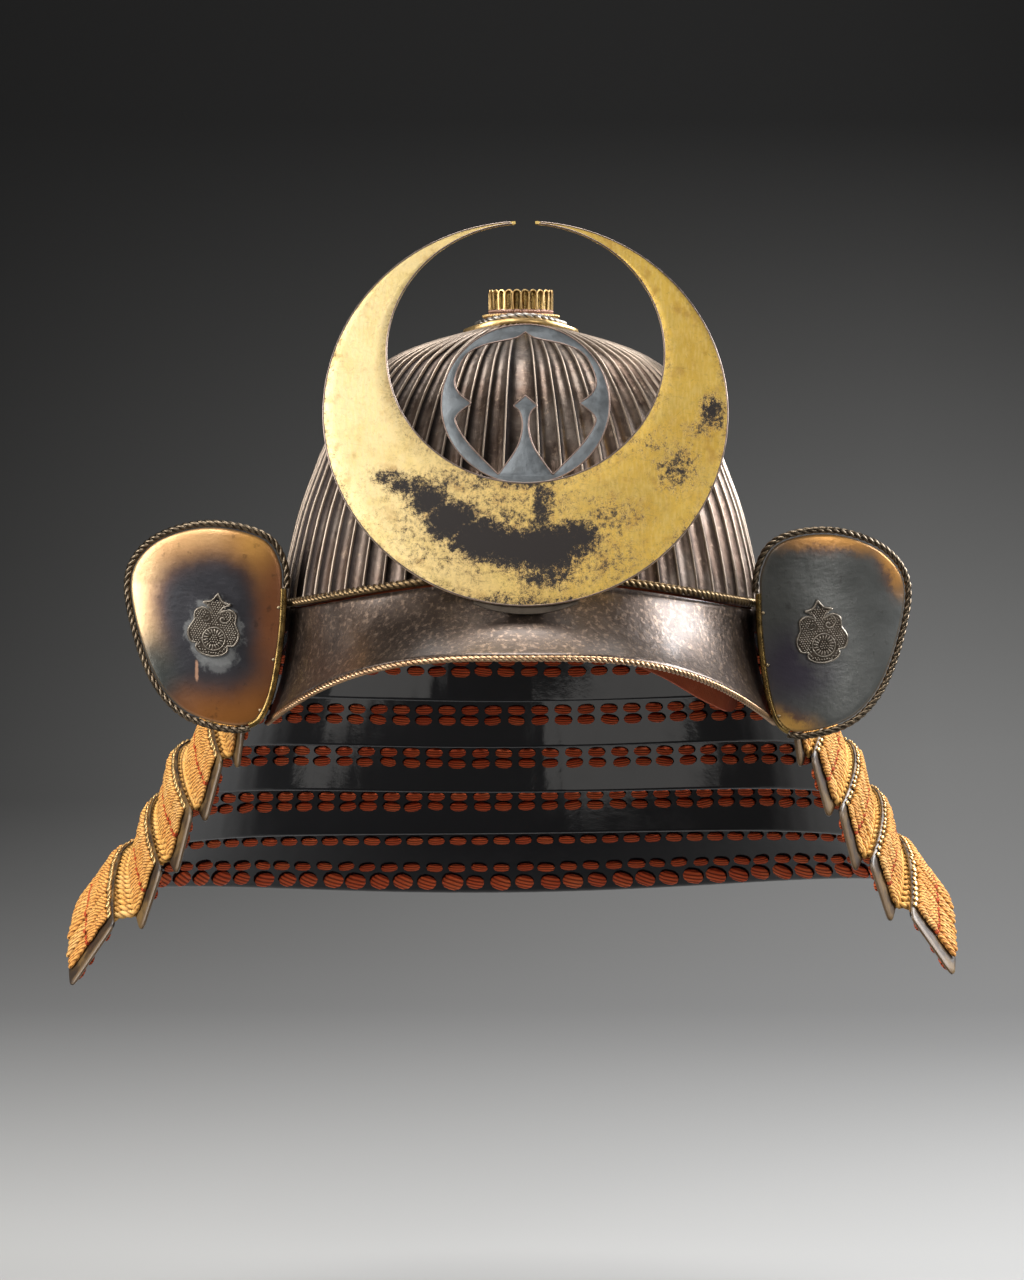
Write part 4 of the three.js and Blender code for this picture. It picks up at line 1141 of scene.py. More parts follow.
def make_lame(k):
    length = RAILS[k][1][2]
    height = np.linalg.norm(on_lame(k, 0.02, 1.0) - on_lame(k, 0.02, 0.0))
    shares = np.concatenate([[0, 0.0015, 0.004, 0.008], np.linspace(0.014, 0.986, 170),
                             [0.992, 0.996, 0.9985, 1]])
    downs = np.concatenate([[0, 0.012, 0.03, 0.06], np.linspace(0.11, 0.89, 12),
                            [0.94, 0.97, 0.988, 1]])
    corner = LAME["corner"] if k else 0.1
    half = LAME["half_thick"]
    near = np.minimum(downs, 1 - downs) * height
    inset = corner - np.sqrt(np.maximum(corner**2 - np.maximum(corner - near, 0) ** 2, 0))
    inset = (inset / length)[:, None]
    grid = inset + shares[None, :] * (1 - 2 * inset)
    _, out, _, _ = lame_frame(k, np.clip(grid, 0.0011, 0.9989), downs[:, None])
    point = on_lame(k, grid, downs[:, None])
    side = np.minimum(shares, 1 - shares) * length
    thick = half * np.clip(0.35 + near / half, 0, 1)[:, None]
    thick = thick * np.clip(0.35 + side / half, 0, 1)
    wave = np.sin(2 * pi * grid * length / LAME["ripple_pitch"] + k)
    ripple = LAME["ripple"] * wave * (k > 0)
    outer = point + out * thick[..., None]
    inner = point + out * (ripple - thick)[..., None]
    ends = (np.minimum(grid, 1 - grid) * length < LAME["worn"]) * 1.0
    marks = {"outer": np.concatenate([np.ones(grid.size), np.zeros(grid.size)]),
             "edge": np.tile(ends.ravel(), 2)}
    return wall(f"lame_plate_{k + 1}", outer, inner, LACQUER, False, marks)


lames = [make_lame(k) for k in range(6)]
print("lames:", [len(lame.data.polygons) for lame in lames])

# %% [markdown]
# Inside, each lame shows rows of short red stitches, the hishinui, that hold the leather and
# the scales together. One stitch is a flat oval of four strands; rows of them are planted at
# even pitch, and the last lame has a row of heavier knots along its edge.

# %% Red stitches
STITCH_ROWS = {1: (0.295, 0.475), 2: (0.335, 0.515), 3: (0.29, 0.47), 4: (0.27, 0.455),
               5: (0.24, 0.62)}
STITCH_SIZE, KNOT_SIZE = (13.2, 9.4, 5.2), (14.1, 11.0, 9.0)  # pitch, length, width


def make_stitches(k):
    chance = np.random.default_rng(40 + k)
    rows = [(down, *STITCH_SIZE, 0.4 * i) for i, down in enumerate(STITCH_ROWS[k])]
    if k == 5:
        rows.append((0.83, *KNOT_SIZE, 0.5))
    spots, out, along, size = [], [], [], []
    length = RAILS[k][1][2]
    for down, pitch, long, wide, loose in rows:
        count = int(length / pitch)
        share = (np.arange(count) + 0.5) / count
        share = share + loose * chance.normal(0, 0.9, count) / length
        drop = down + loose * chance.normal(0, 0.012, count)
        point, normal, run, below = lame_frame(k, np.clip(share, 0.01, 0.99), drop)
        slant = loose * chance.normal(0, 0.2, count)[:, None] + (0.35 if wide > 7 else 0)
        spots.append(point - normal * 0.8)
        out.append(-normal)
        along.append(run + slant * below)
        grown = 1 + loose * chance.normal(0, 0.09, (count, 1))
        size.append(np.tile((long, wide, 2.7), (count, 1)) * grown)
    return plant(f"red_stitches_{k + 1}", np.vstack(spots), np.vstack(out), np.vstack(along),
                 np.vstack(size), STITCH, RED_SILK, turn=0.09, seed=k)


stitches = [make_stitches(k) for k in range(1, 6)]
print("stitches:", [len(s.data.polygons) for s in stitches])

# %% [markdown]
# Outside, a lame is covered by its lacing. From the top come the gilt heads of its scales, a band
# of braided silk cords side by side, a row of loops where the cords dive into their holes, and
# the cords again until the next lame hides them. Bridges are the stretches of the same cords that
# cross the gap to the next lame; they are twisted ropes along short paths.

# %% Outer lacing
LACE = {"pitch": 6.3, "margin": 0.012}


def lace_row(name, k, start, end, width, thick, lift, stamp, material, turn, slant):
    """One row of cords that run down lame k between two shares of its height."""
    used = 1 - 2 * LACE["margin"]
    length = RAILS[k][1][2] * used
    count = int(length / LACE["pitch"])
    chance = np.random.default_rng(60 + k)
    share = LACE["margin"] + used * (np.arange(count) + 0.5) / count
    middle = 0.5 * (start + end) + chance.normal(0, 0.008, count)
    point, normal, run, below = lame_frame(k, share, middle)
    tall = np.linalg.norm(on_lame(k, share, end) - on_lame(k, share, start), axis=1)
    tall = tall * (1 + chance.normal(0, 0.04, count))
    across = width * length / count / LACE["pitch"]
    size = xyz(tall, across, thick * (1 + chance.normal(0, 0.12, count)))
    return plant(f"{name}_{k + 1}", point + normal * lift, normal, below + slant * run, size,
                 stamp, material, turn=turn, seed=20 + k)


LACE_ROWS = [  # name, top, foot, width, thickness, lift, stamp, finish, turn, slant
    ("scale_heads", 0.015, 0.1, 5.6, 1.6, 0.9, CORD, CROWN_GILT, 0.05, 0.35),
    ("lacing_band", 0.08, 0.3, 6.0, 2.9, 1.2, CORD, GOLD_SILK, 0.06, 0.25),
    ("lacing_braid", 0.27, 0.5, 6.0, 2.7, 1.2, CORD, GOLD_SILK, 0.06, -0.25),
    ("lacing_fall", 0.53, 0.84, 5.1, 2.9, 1.0, CORD, GOLD_SILK, 0.09, 0.0),
    ("lacing_loops", 0.455, 0.56, 3.8, 2.6, 1.0, BEAD, RED_SILK, 0.25, 0.0),
]
LAST_FALL = 0.93  # no lame hides the foot of the last one's lacing


def make_lacing(k):
    rows = []
    for name, top, foot, *rest in LACE_ROWS:
        if k == 5 and name == "lacing_fall":
            foot = LAST_FALL
        rows.append(lace_row(name, k, top, foot, *rest))
    return rows


BRIDGE = {"radius": 2.0, "twist": 9.0, "step": 1.4}
BRIDGE_STOPS = [(0, 0.62, 1.2), (0, 0.8, 1.9), (0, 0.93, 2.6), (1, 0.03, -2.6), (1, 0.1, -2.3)]


def make_bridge(k):
    """Cords that leave lame k and go down behind the top of the next one."""
    length = RAILS[k + 1][0][2]
    count = int(length * 0.97 / LACE["pitch"])
    share = 0.015 + 0.97 * (np.arange(count) + 0.5) / count
    points, edges = [], []
    for below, down, lift in BRIDGE_STOPS:
        point, normal, _, _ = lame_frame(k + below, share, down)
        points.append(point + normal * lift)
    points = np.array(points).transpose(1, 0, 2).reshape(-1, 3)
    stops = len(BRIDGE_STOPS)
    for start in range(0, len(points), stops):
        edges.extend((start + j, start + j + 1) for j in range(stops - 1))
    seed = seed_mesh("cords", points, edges)
    return grow(f"lacing_bridge_{k + 1}", seed, ROPE_TREE, Radius=BRIDGE["radius"] * MM,
                Pitch=BRIDGE["twist"] * MM, Strands=2, Depth=0.4, Step=BRIDGE["step"] * MM,
                Material=GOLD_SILK)


lacings = [make_lacing(k) for k in range(1, 6)]
bridges = [make_bridge(k) for k in range(5)]
print("lacing:", [sum(len(p.data.polygons) for p in parts) for parts in lacings])

# %% [markdown]
# The turn-backs, or fukigaeshi, are the ends of the top lame bent outwards beside the face. Each
# is one bowed plate with a round outline, so it is lofted through rings that shrink towards its
# middle, front and back. Its lacquer has gone in patches down to gilding, copper and bare iron.

# %% Turn-back surface
FLAP_OUTLINE = [
    (115.2, 8), (116.2, 21.3), (123, 32.3), (139, 37.6), (157.5, 37), (176.5, 29.3), (187.4, 15),
    (186.2, -4.7), (177, -31.7), (164, -48.3), (147, -55.8), (130, -56.5), (121.8, -44),
    (116.8, -16),
]
FLAP_MIDDLE = np.array((150, -4))
FLAP = {"inner": 112, "foot": 113, "span": 78, "y": -62, "dip": 14, "bow": 30, "lean": 0.011,
        "shift": 1.6, "thick": 2.2}
FLAP_EDGE = spline(FLAP_OUTLINE, 16, closed=True)


def on_flap(side, x, z, depth=0.0):
    """A point of a turn-back: side 1 is the wearer's left, and depth goes in from the front."""
    x, z, depth = np.broadcast_arrays(x, z, depth)
    u = (x - FLAP["foot"] - np.maximum(0, 10 - z) * 0.2) / FLAP["span"]
    ease = np.clip((x - FLAP["inner"]) / 28, 0, 1)
    shift = -FLAP["shift"] * ease**2 * (3 - 2 * ease)
    y = FLAP["y"] - FLAP["dip"] * u + FLAP["bow"] * u**2
    return xyz(side * x + shift, y + depth, z - FLAP["lean"] * side * x)


def flap_edge(offset):
    """The outline of a turn-back, moved outwards by an offset."""
    run = unit(np.roll(FLAP_EDGE, -1, axis=0) - np.roll(FLAP_EDGE, 1, axis=0))
    return FLAP_EDGE + offset * xyz(-run[:, 1], run[:, 0])


HANDS = {1: "left", -1: "right"}


def make_flap(side, material):
    shares = [0.02, 0.2, 0.35, 0.45, 0.55, 0.65, 0.75, 0.84, 0.92, 0.97, 0.99, 1.0]
    rounding = [0] * 9 + [0.05, 0.3, 0.8]
    rings, edge, rim = [], [], []
    for face in (0, 1):
        order = range(len(shares)) if face == 0 else reversed(range(len(shares)))
        for i in order:
            spots = FLAP_MIDDLE + (FLAP_EDGE - FLAP_MIDDLE) * shares[i]
            depth = rounding[i] if face == 0 else FLAP["thick"] - rounding[i]
            rings.append(on_flap(side, spots[:, 0], spots[:, 1], depth))
            edge.append(np.full(len(spots), max(0.0, (shares[i] - 0.97) / 0.03)))
            rim.append(np.full(len(spots), shares[i]))
    marks = {"edge": np.concatenate(edge), "rim": np.concatenate(rim)}
    return loft(f"turn_back_{HANDS[side]}", np.array(rings), material, marks=marks)


print("turn-back outline:", round(run_along(FLAP_EDGE)[-1]), "mm round")

# %% [markdown]
# The two turn-backs have aged differently, and the pale gold at the rim of the one at the
# wearer's right is partly painted highlight, so each has a finish of its own, made of the same
# coats: places are given on the plate as (across, up) in millimetres, then half-width and
# half-height, how soft the edge is, and how ragged.

# %% Turn-back finish


def patch(finish, side, x, z, half_width, half_height, soft, ragged, grain=110.0):
    centre = on_flap(side, x, z) * MM
    size = np.array((half_width, 400, half_height)) * MM
    return finish.use(STAIN, Centre=tuple(centre), Size=tuple(size), Soft=soft, Ragged=ragged,
                      Grain=grain)


GILT_HIGHLIGHT, AMBER, BROWN = (0.66, 0.47, 0.24), (0.7, 0.34, 0.08), (0.22, 0.08, 0.03)
# The wearer's right turn-back faces the key light: its pale gold at the outer edge and top is gilt
# showing through and painted highlight.
RIGHT_GILT_AND_HIGHLIGHT = [  # the wearer's right: x, z, half-width, half-height, ragged, colour, amount
    (186, 12, 20, 30, 0.3, GILT_HIGHLIGHT, 1.0), (158, 40, 34, 17, 0.3, (0.86, 0.5, 0.22), 1.0),
    (124, 30, 14, 18, 0.5, (0.7, 0.36, 0.09), 0.95), (116, -5, 12, 30, 0.6, BROWN, 0.9),
    (134, -54, 30, 16, 0.5, (0.33, 0.125, 0.028), 0.95),
]
LEFT_RIM_COLOURS = [
    (160, 40, 34, 9, 0.9, AMBER, 1.0), (184, 26, 8, 14, 0.9, AMBER, 0.9),
    (128, -56, 13, 8, 0.9, (0.7, 0.4, 0.1), 0.9),
]
RIGHT_PATCHES = [  # x, z, half-width, half-height, soft, ragged, grain, colour, amount
    (178, -34, 13, 16, 0.6, 0.4, 60, (0.035, 0.042, 0.038), 0.85),
    (146.5, -12, 12.8, 16, 0.14, 1.5, 150, (0.3, 0.31, 0.31), 0.6),
    (144.5, -25, 8, 6, 0.25, 1.8, 190, (0.3, 0.31, 0.31), 0.5),
    (155, -31, 0.9, 5, 0.3, 1.6, 260, (0.6, 0.34, 0.22), 0.9),
]
LEFT_PATCHES = [
    (133, -26, 16, 16, 0.7, 0.5, 60, (0.05, 0.04, 0.065), 0.8),
    (146.5, -12, 13.5, 17, 0.15, 1.0, 150, (0.12, 0.12, 0.115), 0.5),
]


def flap_finish(side, rim_coats, patches, base):
    coat = Finish(f"turn_back_lacquer_{HANDS[side]}", base, metallic=0.45, roughness=0.32)
    coat.coat(coat.clouds(26, 0.35, 0.75), tuple(1.6 * v for v in base))
    start, ragged_rim = (0.4, 0.1) if side < 0 else (0.66, 0.3)
    noise = coat.clouds(48, 0.2, 0.8, Roughness=0.75)
    shift = calc(coat.tree, "MULTIPLY", calc(coat.tree, "SUBTRACT", noise, 0.5), ragged_rim)
    share = calc(coat.tree, "ADD", coat.mark("rim"), shift)
    near = ramp(coat.tree, share, start, 0.85, smooth=True)
    far = ramp(coat.tree, share, start + 0.15, 0.94, smooth=True)
    # Rim coats: a brown halo, then the rim colour; on the wearer's right this includes painted
    # highlight.
    for x, z, wide, tall, ragged, colour, amount in rim_coats:
        rim_patch = patch(coat, side, x, z, wide, tall, 0.8, ragged, 50.0)
        coat.coat(coat.masked(rim_patch, near), BROWN, 0.9 * amount)
        coat.coat(coat.masked(rim_patch, far), colour, amount)
    for x, z, wide, tall, soft, ragged, grain, colour, amount in patches:
        coat.coat(patch(coat, side, x, z, wide, tall, soft, ragged, grain), colour, amount)
    coat.coat(coat.clouds(210, 0.6, 0.72), (0.02, 0.015, 0.012), 0.4)
    coat.coat(coat.mark("edge"), (0.2, 0.14, 0.08), 0.7)
    coat.roughen(coat.clouds(90, 0.4, 0.75), 0.38)
    coat.bump(coat.clouds(26, 0.2, 0.8), 0.25)
    coat.bump(coat.clouds(420, 0.3, 0.8), 0.04)
    return coat.done()


FLAP_FINISHES = {-1: flap_finish(-1, RIGHT_GILT_AND_HIGHLIGHT, RIGHT_PATCHES, (0.034, 0.034, 0.04)),
                 1: flap_finish(1, LEFT_RIM_COLOURS, LEFT_PATCHES, (0.085, 0.088, 0.084))}
flaps = [make_flap(side, FLAP_FINISHES[side]) for side in (1, -1)]
print("turn-backs:", [len(f.data.polygons) for f in flaps])

# %% [markdown]
# A twisted wire runs round the outside of each turn-back, and a rounded dark gilt rim with
# small pins covers the fold on the inside, beside the face.

# %% Turn-back trims


def flap_path(side, start, end, offset, depth, steps=160):
    """A stretch of the offset outline, between two shares of its length."""
    edge = flap_edge(offset)
    edge = np.vstack([edge, edge[:1]])
    run = run_along(edge)
    share = (np.linspace(start, end, steps) % 1.0) * run[-1]
    x, z = (np.interp(share, run, c) for c in edge.T)
    return on_flap(side, x, z, depth)


def make_flap_trims(side):
    hand = HANDS[side]
    twist = rope(f"turn_back_twist_{hand}", flap_path(side, 0.005, 0.752, 2.15, 1.1), 1.75,
                 11.5, SILVER_ROPE, depth=0.42)
    rim = plain_wire(f"turn_back_rim_{hand}", flap_path(side, 0.75, 1.004, 0.6, 1.1), 1.7,
                     DARK_FLUTE, strands=2)
    spots = flap_path(side, 0.78, 0.97, -1.2, -0.5, 3)
    pins = plant(f"turn_back_pins_{hand}", spots, (0.0, -1.0, 0.0), (1.0, 0.0, 0.0),
                 (1.7, 1.7, 1.0), BEAD, PIN_METAL)
    return twist, rim, pins


flap_trims = [make_flap_trims(side) for side in (1, -1)]
print("turn-back trims:", sum(len(trims) for trims in flap_trims))

# %% [markdown]
# On each turn-back sits a small openwork plaque: a rosette between scrolls under a bud. It is cut
# as a flat shape, so a filled curve with a bevel makes the plate, a wire makes its raised rim,
# and planted beads make the rosette and the rows of punched dots.

# %% Plaques
PLAQUE = {"x": 146.5, "z": -12, "turn": -7}
ROSETTE = np.array((0.5, -3.2))
PLAQUE_ARCS = [
    [(0, -12.2), (4.8, -11.2), (7.9, -8.8), (7.5, -6.1)],
    [(7.5, -6.1), (11.2, -5.4), (12.8, -0.4), (10.3, 5.1)],
    [(10.3, 5.1), (10.2, 9.6), (6.6, 11.8), (1.8, 9.9)],
    [(1.8, 9.9), (3.6, 12.8), (7, 14.4)], [(7, 14.4), (2.8, 15.6), (0, 19.3)],
]


def mirrored(arcs, steps):
    """A closed outline, the same on both sides, from arcs on its right half."""
    half = np.vstack([spline(arc, steps)[:-1] for arc in arcs] + [[arcs[-1][-1]]])
    return np.vstack([half, half[-2:0:-1] * (-1, 1)])


def flat_plate(name, outlines, thick, bevel, material, place):
    """A bevelled plate from closed flat outlines; place puts its points where it belongs."""
    data = bpy.data.curves.new(name, "CURVE")
    data.dimensions = "2D"
    data.fill_mode = "BOTH"
    data.extrude = thick / 2 - bevel
    data.bevel_depth = bevel
    data.bevel_resolution = 2
    data.offset = -bevel
    for outline in outlines:
        line = data.splines.new("POLY")
        line.points.add(len(outline) - 1)
        line.points.foreach_set("co", [v for x, y in outline for v in (x, y, 0, 1)])
        line.use_cyclic_u = True
    mesh = baked(link(name, data))
    whole = bmesh.new()
    corners = [whole.verts.new(v.co) for v in mesh.vertices]
    for face in mesh.polygons:
        if len(set(face.vertices)) > 2:
            whole.faces.new([corners[i] for i in face.vertices])
    bmesh.ops.remove_doubles(whole, verts=whole.verts, dist=1e-4)
    whole.verts.index_update()
    points = np.array([v.co for v in whole.verts])
    faces = [tuple(v.index for v in f.verts) for f in whole.faces]
    whole.free()
    return new_piece(name, place(points), faces, material)


def plaque_point(side, x, y, out=0.0):
    """A point of a plaque: across and up on its face, and out of it."""
    centre = on_flap(side, PLAQUE["x"], PLAQUE["z"], -0.6)
    turn = radians(PLAQUE["turn"]) * -side
    across = x * cos(turn) - y * sin(turn)
    up = x * sin(turn) + y * cos(turn)
    return centre + xyz(across, -np.asarray(out), up)


def inside(outline, spots):
    """Which spots lie inside a closed outline."""
    a, b = outline, np.roll(outline, -1, axis=0)
    x, y = spots[:, :1], spots[:, 1:]
    crosses = (a[:, 1] > y) != (b[:, 1] > y)
    rise = np.where(a[:, 1] == b[:, 1], 1, b[:, 1] - a[:, 1])
    at = a[:, 0] + (y - a[:, 1]) * (b[:, 0] - a[:, 0]) / rise
    return (crosses & (x < at)).sum(axis=1) % 2 == 1


def make_plaque(side):
    hand = HANDS[side]
    outline = mirrored(PLAQUE_ARCS, 6)
    turn = np.linspace(0, 2 * pi, 14, endpoint=False)
    bud = xyz(0.95 * np.sin(turn), 15.3 - 1.2 * np.cos(turn))
    plate = flat_plate(f"plaque_plate_{hand}", [outline, bud], 1.4, 0.25, PLAQUE_FIELD,
                       lambda p: plaque_point(side, p[:, 0], p[:, 1], p[:, 2] + 0.7))
    wires = [("rim", outline * (0.95, 0.96), 0.5)]
    coil = spline([(1.2, 9.4), (3.6, 10.9), (6.4, 10.4), (7.5, 7.6), (5.6, 5.1), (3.4, 5.1),
                   (2.6, 6.7), (3.8, 7.5), (4.6, 6.6)], 5)
    for edge, flip in (("scroll", 1), ("curl", -1)):
        wires.append((edge, coil * (flip, 1), 0.45))
    ring = ROSETTE + 5.5 * xyz(np.sin(turn), np.cos(turn))
    wires.append(("rosette", spline(ring, 3, True), 0.42))
    trims = [plain_wire(f"plaque_{label}_{hand}", plaque_point(side, *line.T, 1.4), radius,
                        PLAQUE_METAL, label in ("rim", "rosette"), 0.4)
             for label, line, radius in wires]
    out = (0.0, -1.0, 0.0)
    a = np.arange(18) * 2 * pi / 18
    petals = ROSETTE + 3.8 * xyz(np.sin(a), np.cos(a))
    spots = plaque_point(side, *petals.T, 1.2)
    along = xyz(np.sin(a), 0, np.cos(a))
    slits = plant(f"plaque_petals_{hand}", spots, out, along, (2.5, 0.85, 0.9), BEAD,
                  PLAQUE_METAL)
    grid = xyz(*np.meshgrid(np.arange(-12, 13, 1.2), np.arange(-12, 19, 1.05)))
    grid[1::2, :, 0] += 0.6
    grid = grid.reshape(-1, 2)
    field = grid[inside(outline * 0.88, grid)]
    away = np.linalg.norm(field - ROSETTE, axis=1)
    scrolls = np.linalg.norm(np.abs(field) - (3.5, 6.2), axis=1)
    field = field[((away > 6.4) & (scrolls > 2.2)) | (away < 2.2)]
    stipple = plant(f"plaque_dots_{hand}", plaque_point(side, *field.T, 1.25), out,
                    (1.0, 0.0, 0.0), (0.85, 0.85, 0.6), BEAD, PLAQUE_METAL)
    return plate, *trims, slits, stipple


plaques = [make_plaque(side) for side in (1, -1)]
print("plaque pieces:", sum(len(p) for p in plaques))

# %% [markdown]
# The crest, or maedate, is a thin crescent in front of an openwork ring, and both stand on a tang
# that slides into a socket on the visor. The crescent runs between two ovals, so it is lofted
# from tip to tip through thin bevelled sections. The wires of its rim are pale.

# %% Crest: crescent
CRESCENT = {"outer": (93.3, 90.8, 90.8), "inner": (63.8, 61.3, 119.0), "tip": 4.6, "thick": 1.6}
EDGE_PALE = plain_metal("crest_edge", (0.5, 0.4, 0.34), (0.25, 0.16, 0.12), 0.35)


def oval(which, share):
    """A point of one of the crescent's ovals, from the tip at -X, 0, round to the tip at +X."""
    wide, tall, middle = CRESCENT[which]
    start = asin(CRESCENT["tip"] / wide)
    angle = start + (2 * pi - 2 * start) * share
    return xyz(-wide * np.sin(angle), middle + tall * np.cos(angle))


def make_crescent():
    share = np.linspace(0, 1, 241)
    outer, inner = oval("outer", share), oval("inner", share)
    t = CRESCENT["thick"]
    section = [(0, -t), (0, -0.35), (0.004, -0.1), (0.02, 0), (0.2, 0), (0.4, 0), (0.6, 0),
               (0.8, 0), (0.98, 0), (0.996, -0.1), (1, -0.35), (1, -t), (0.66, -t), (0.33, -t)]
    edge = [1, 1, 1, 0.9, 0, 0, 0, 0, 0.9, 1, 1, 1, 0, 0]
    rings = []
    for o, i in zip(outer, inner):
        spots = [o + (i - o) * across for across, _ in section]
        rings.append([crest_point(x, up, w) for (x, up), (_, w) in zip(spots, section)])
    return loft("crescent_plate", np.array(rings), GILDING, marks={"edge": edge * len(share)})


def make_crest_wires():
    share = np.linspace(0.004, 0.996, 300)
    wires = []
    for which, inset in (("outer", -0.35), ("inner", 0.35)):
        line = oval(which, share)
        line = line + inset * unit(line - (0, CRESCENT[which][2]))
        wires.append(plain_wire(f"crescent_wire_{which}", crest_point(*line.T, -0.2), 0.42,
                                EDGE_PALE))
    return wires


crescent = make_crescent()
crest_wires = make_crest_wires()
print("crescent:", len(crescent.data.polygons), "faces")

# %% [markdown]
# The openwork ring behind it is sawn from sheet: a disc with two lobes cut out around a spade on
# a stem. Its cut edges show a thin line of copper, which is a wire just inside each outline.

# %% Crest: openwork
OPENWORK = {"half_width": 38.7, "half_height": 37.6, "up": 95.0, "thick": 1.2}
OPENWORK_ARCS = [
    [(0, 34), (5, 31.1), (18.6, 28), (27.5, 22.9), (32.5, 12), (31, 5.4), (25, 0.3)],
    [(25, 0.3), (31.4, -5.1), (31.9, -9.6), (25.8, -19.4), (12.5, -33.4)],
    [(12.5, -33.4), (4.2, -21.1), (1.4, -11.4), (2.5, -4), (5.6, -0.9)],
    [(5.6, -0.9), (2.5, 1.7), (0, 3.9)],
]


def make_openwork():
    middle = (0, OPENWORK["up"])
    turn = np.linspace(0, 2 * pi, 180, endpoint=False)
    rim = middle + xyz(OPENWORK["half_width"] * np.cos(turn),
                       OPENWORK["half_height"] * np.sin(turn))
    hole = mirrored(OPENWORK_ARCS, 8) + middle
    back = -CRESCENT["thick"] - 0.3 - OPENWORK["thick"] / 2
    plate = flat_plate("openwork_plate", [rim, hole], OPENWORK["thick"], 0.25, BLUE_METAL,
                       lambda p: crest_point(p[:, 0], p[:, 1], p[:, 2] + back))
    front = back + OPENWORK["thick"] / 2
    wires = []
    for name, line in (("outer", rim), ("inner", hole)):
        wires.append(plain_wire(f"openwork_wire_{name}", crest_point(*line.T, front - 0.15),
                                0.4, COPPER_EDGE, True))
    return plate, wires


openwork, openwork_wires = make_openwork()
print("openwork:", len(openwork.data.polygons), "faces")

# %% [markdown]
# The lining is a cloth cap sewn inside the bowl. Only its hem shows, low at the sides, so the
# cap is one closed sheet with soft folds that grow towards the hem, where it sags most at the
# wearer's left.

# %% Lining
LINING = {"wall": 1.6, "half_width": 110.0}
LINING_RISE = [(0.985, None), (1, 14), (0.93, 44), (0.78, 70), (0.5, 88), (0.2, 95), (0.02, 96)]


HEM = {"side": -42, "front": 30, "back": 24, "sag": 13, "sag_at": 68, "sag_width": 34}


def lining_hem(angle):
    ahead = np.cos(angle)
    rise = np.where(ahead > 0, HEM["front"], HEM["back"]) * ahead**2
    sag = np.exp(-((angle - radians(HEM["sag_at"])) / radians(HEM["sag_width"])) ** 2)
    return HEM["side"] + rise - HEM["sag"] * sag


def make_lining():
    angle = np.linspace(0, 2 * pi, 180, endpoint=False)
    hem = lining_hem(angle)
    columns = []
    for low in hem:
        columns.append(spline([(s, low if z is None else z) for s, z in LINING_RISE], 5))
    line = np.array(columns).transpose(1, 0, 2)
    grids = []
    for inset in (0.0, LINING["wall"]):
        share, z = line[..., 0], line[..., 1]
        fold = 1 + 0.006 * np.sin(13 * angle) * np.clip(1 - (z - hem) / 50, 0, 1)
        r = (LINING["half_width"] * share * fold) - inset
        r = np.maximum(r, 0.6 - 0.2 * inset)
        height = z - inset * (1 - np.minimum(share, 1) ** 2)
        grids.append(around(angle, r, height, BOWL["stretch"]))
    points = np.array(grids).reshape(-1, 3)
    rows, width = grids[0].shape[:2]
    size = rows * width
    faces = quads(rows, width, 0, True) + quads(rows, width, size, True)
    for j in range(width):
        k = (j + 1) % width
        faces.append((j, k, size + k, size + j))
    faces.append(tuple((rows - 1) * width + j for j in range(width)))
    faces.append(tuple(size + (rows - 1) * width + j for j in range(width)))
    return new_piece("cloth_lining", points, faces, RED_CLOTH)


lining = make_lining()

# %% [markdown]
# Everything rides on the helmet except the crest, which lifts out of its socket with its tang.
# Where a piece stands for a solid, that solid is hidden. The plain band behind the bowl, the tang
# and the socket keep their packed shape and only get a finish.

# %% Riding and replacing


def dress(pieces, body, slot_name, *nodes):
    for piece in pieces:
        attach(piece, body)
        if nodes:
            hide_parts(*nodes)


def keep(node, material):
    """A packed solid that stays as it is, with a finish."""
    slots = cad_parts[node].data.materials
    slots.clear()
    slots.append(material)


for stamp in (BEAD, STITCH, CORD):
    bpy.data.objects.remove(stamp)
dress([bowl, ribs], "helmet", "russet_iron", "bowl")
dress([visor], "helmet", "russet_iron", "visor")
dress([brow_rope], "helmet", "dark_brass_rope", "visor_top_rope")
dress([rim_rope], "helmet", "copper_rope", "visor_lip_rope")
dress([flange_ring], "helmet", "gilt", "crown_flange")
dress([twist_ring], "helmet", "silvered", "crown_rope_ring")
dress([pearl_ring], "helmet", "silvered", "crown_bead_ring")
dress([collar_ring, grain_ring], "helmet", "copper", "crown_collar")
dress([petal_rims, petal_flutes, sleeve], "helmet", "gilt", "crown_petals")
dress([lames[0], *flaps], "helmet", "black_lacquer", "neck_lame_1")
for k in range(1, 6):
    dress([lames[k]], "helmet", "black_lacquer", f"neck_lame_{k + 1}")
    dress([stitches[k - 1], bridges[k - 1]], "helmet", "orange_lacing")
    dress(lacings[k - 1], "helmet", "orange_lacing", f"lacing_{k + 1}")
for side, trims in zip(("left", "right"), flap_trims):
    dress([trims[0]], "helmet", "dark_brass_rope", f"turn_back_rope_{side}")
    dress(trims[1:], "helmet", "silvered")
for side, badge in zip(("left", "right"), plaques):
    dress(badge, "helmet", "silvered", f"plaque_{side}")
dress([crescent, *crest_wires], "crest", "gilt", "crest_crescent")
dress([openwork, *openwork_wires], "crest", "blue_grey_iron", "crest_openwork")
dress([lining], "helmet", "red_cloth", "lining")
keep("base_band", RUSSET_IRON)
keep("crest_tang", BLUE_METAL)
keep("crest_bracket", PLAQUE_FIELD)

# %% [markdown]
# The floor is pale and runs up into a grey backdrop in one curve, so no line shows behind the
# helmet. It isn't part of the object. It is painted darker close to the camera, because the black
# lacquer mirrors that part, and darker high up and to the left, where the gilt horns stand out.

# %% Floor and backdrop
FLOOR = -420.0
BACKDROP = [  # how far back and up each change starts and ends, in metres, and its colour
    (0.2, 0.02, (0.06, 0.06, 0.06)), (0.3, 1.0, (0.165, 0.165, 0.164)),
    (1.0, 1.6, (0.13, 0.13, 0.128)), (1.6, 2.6, (0.014, 0.014, 0.014)),
]


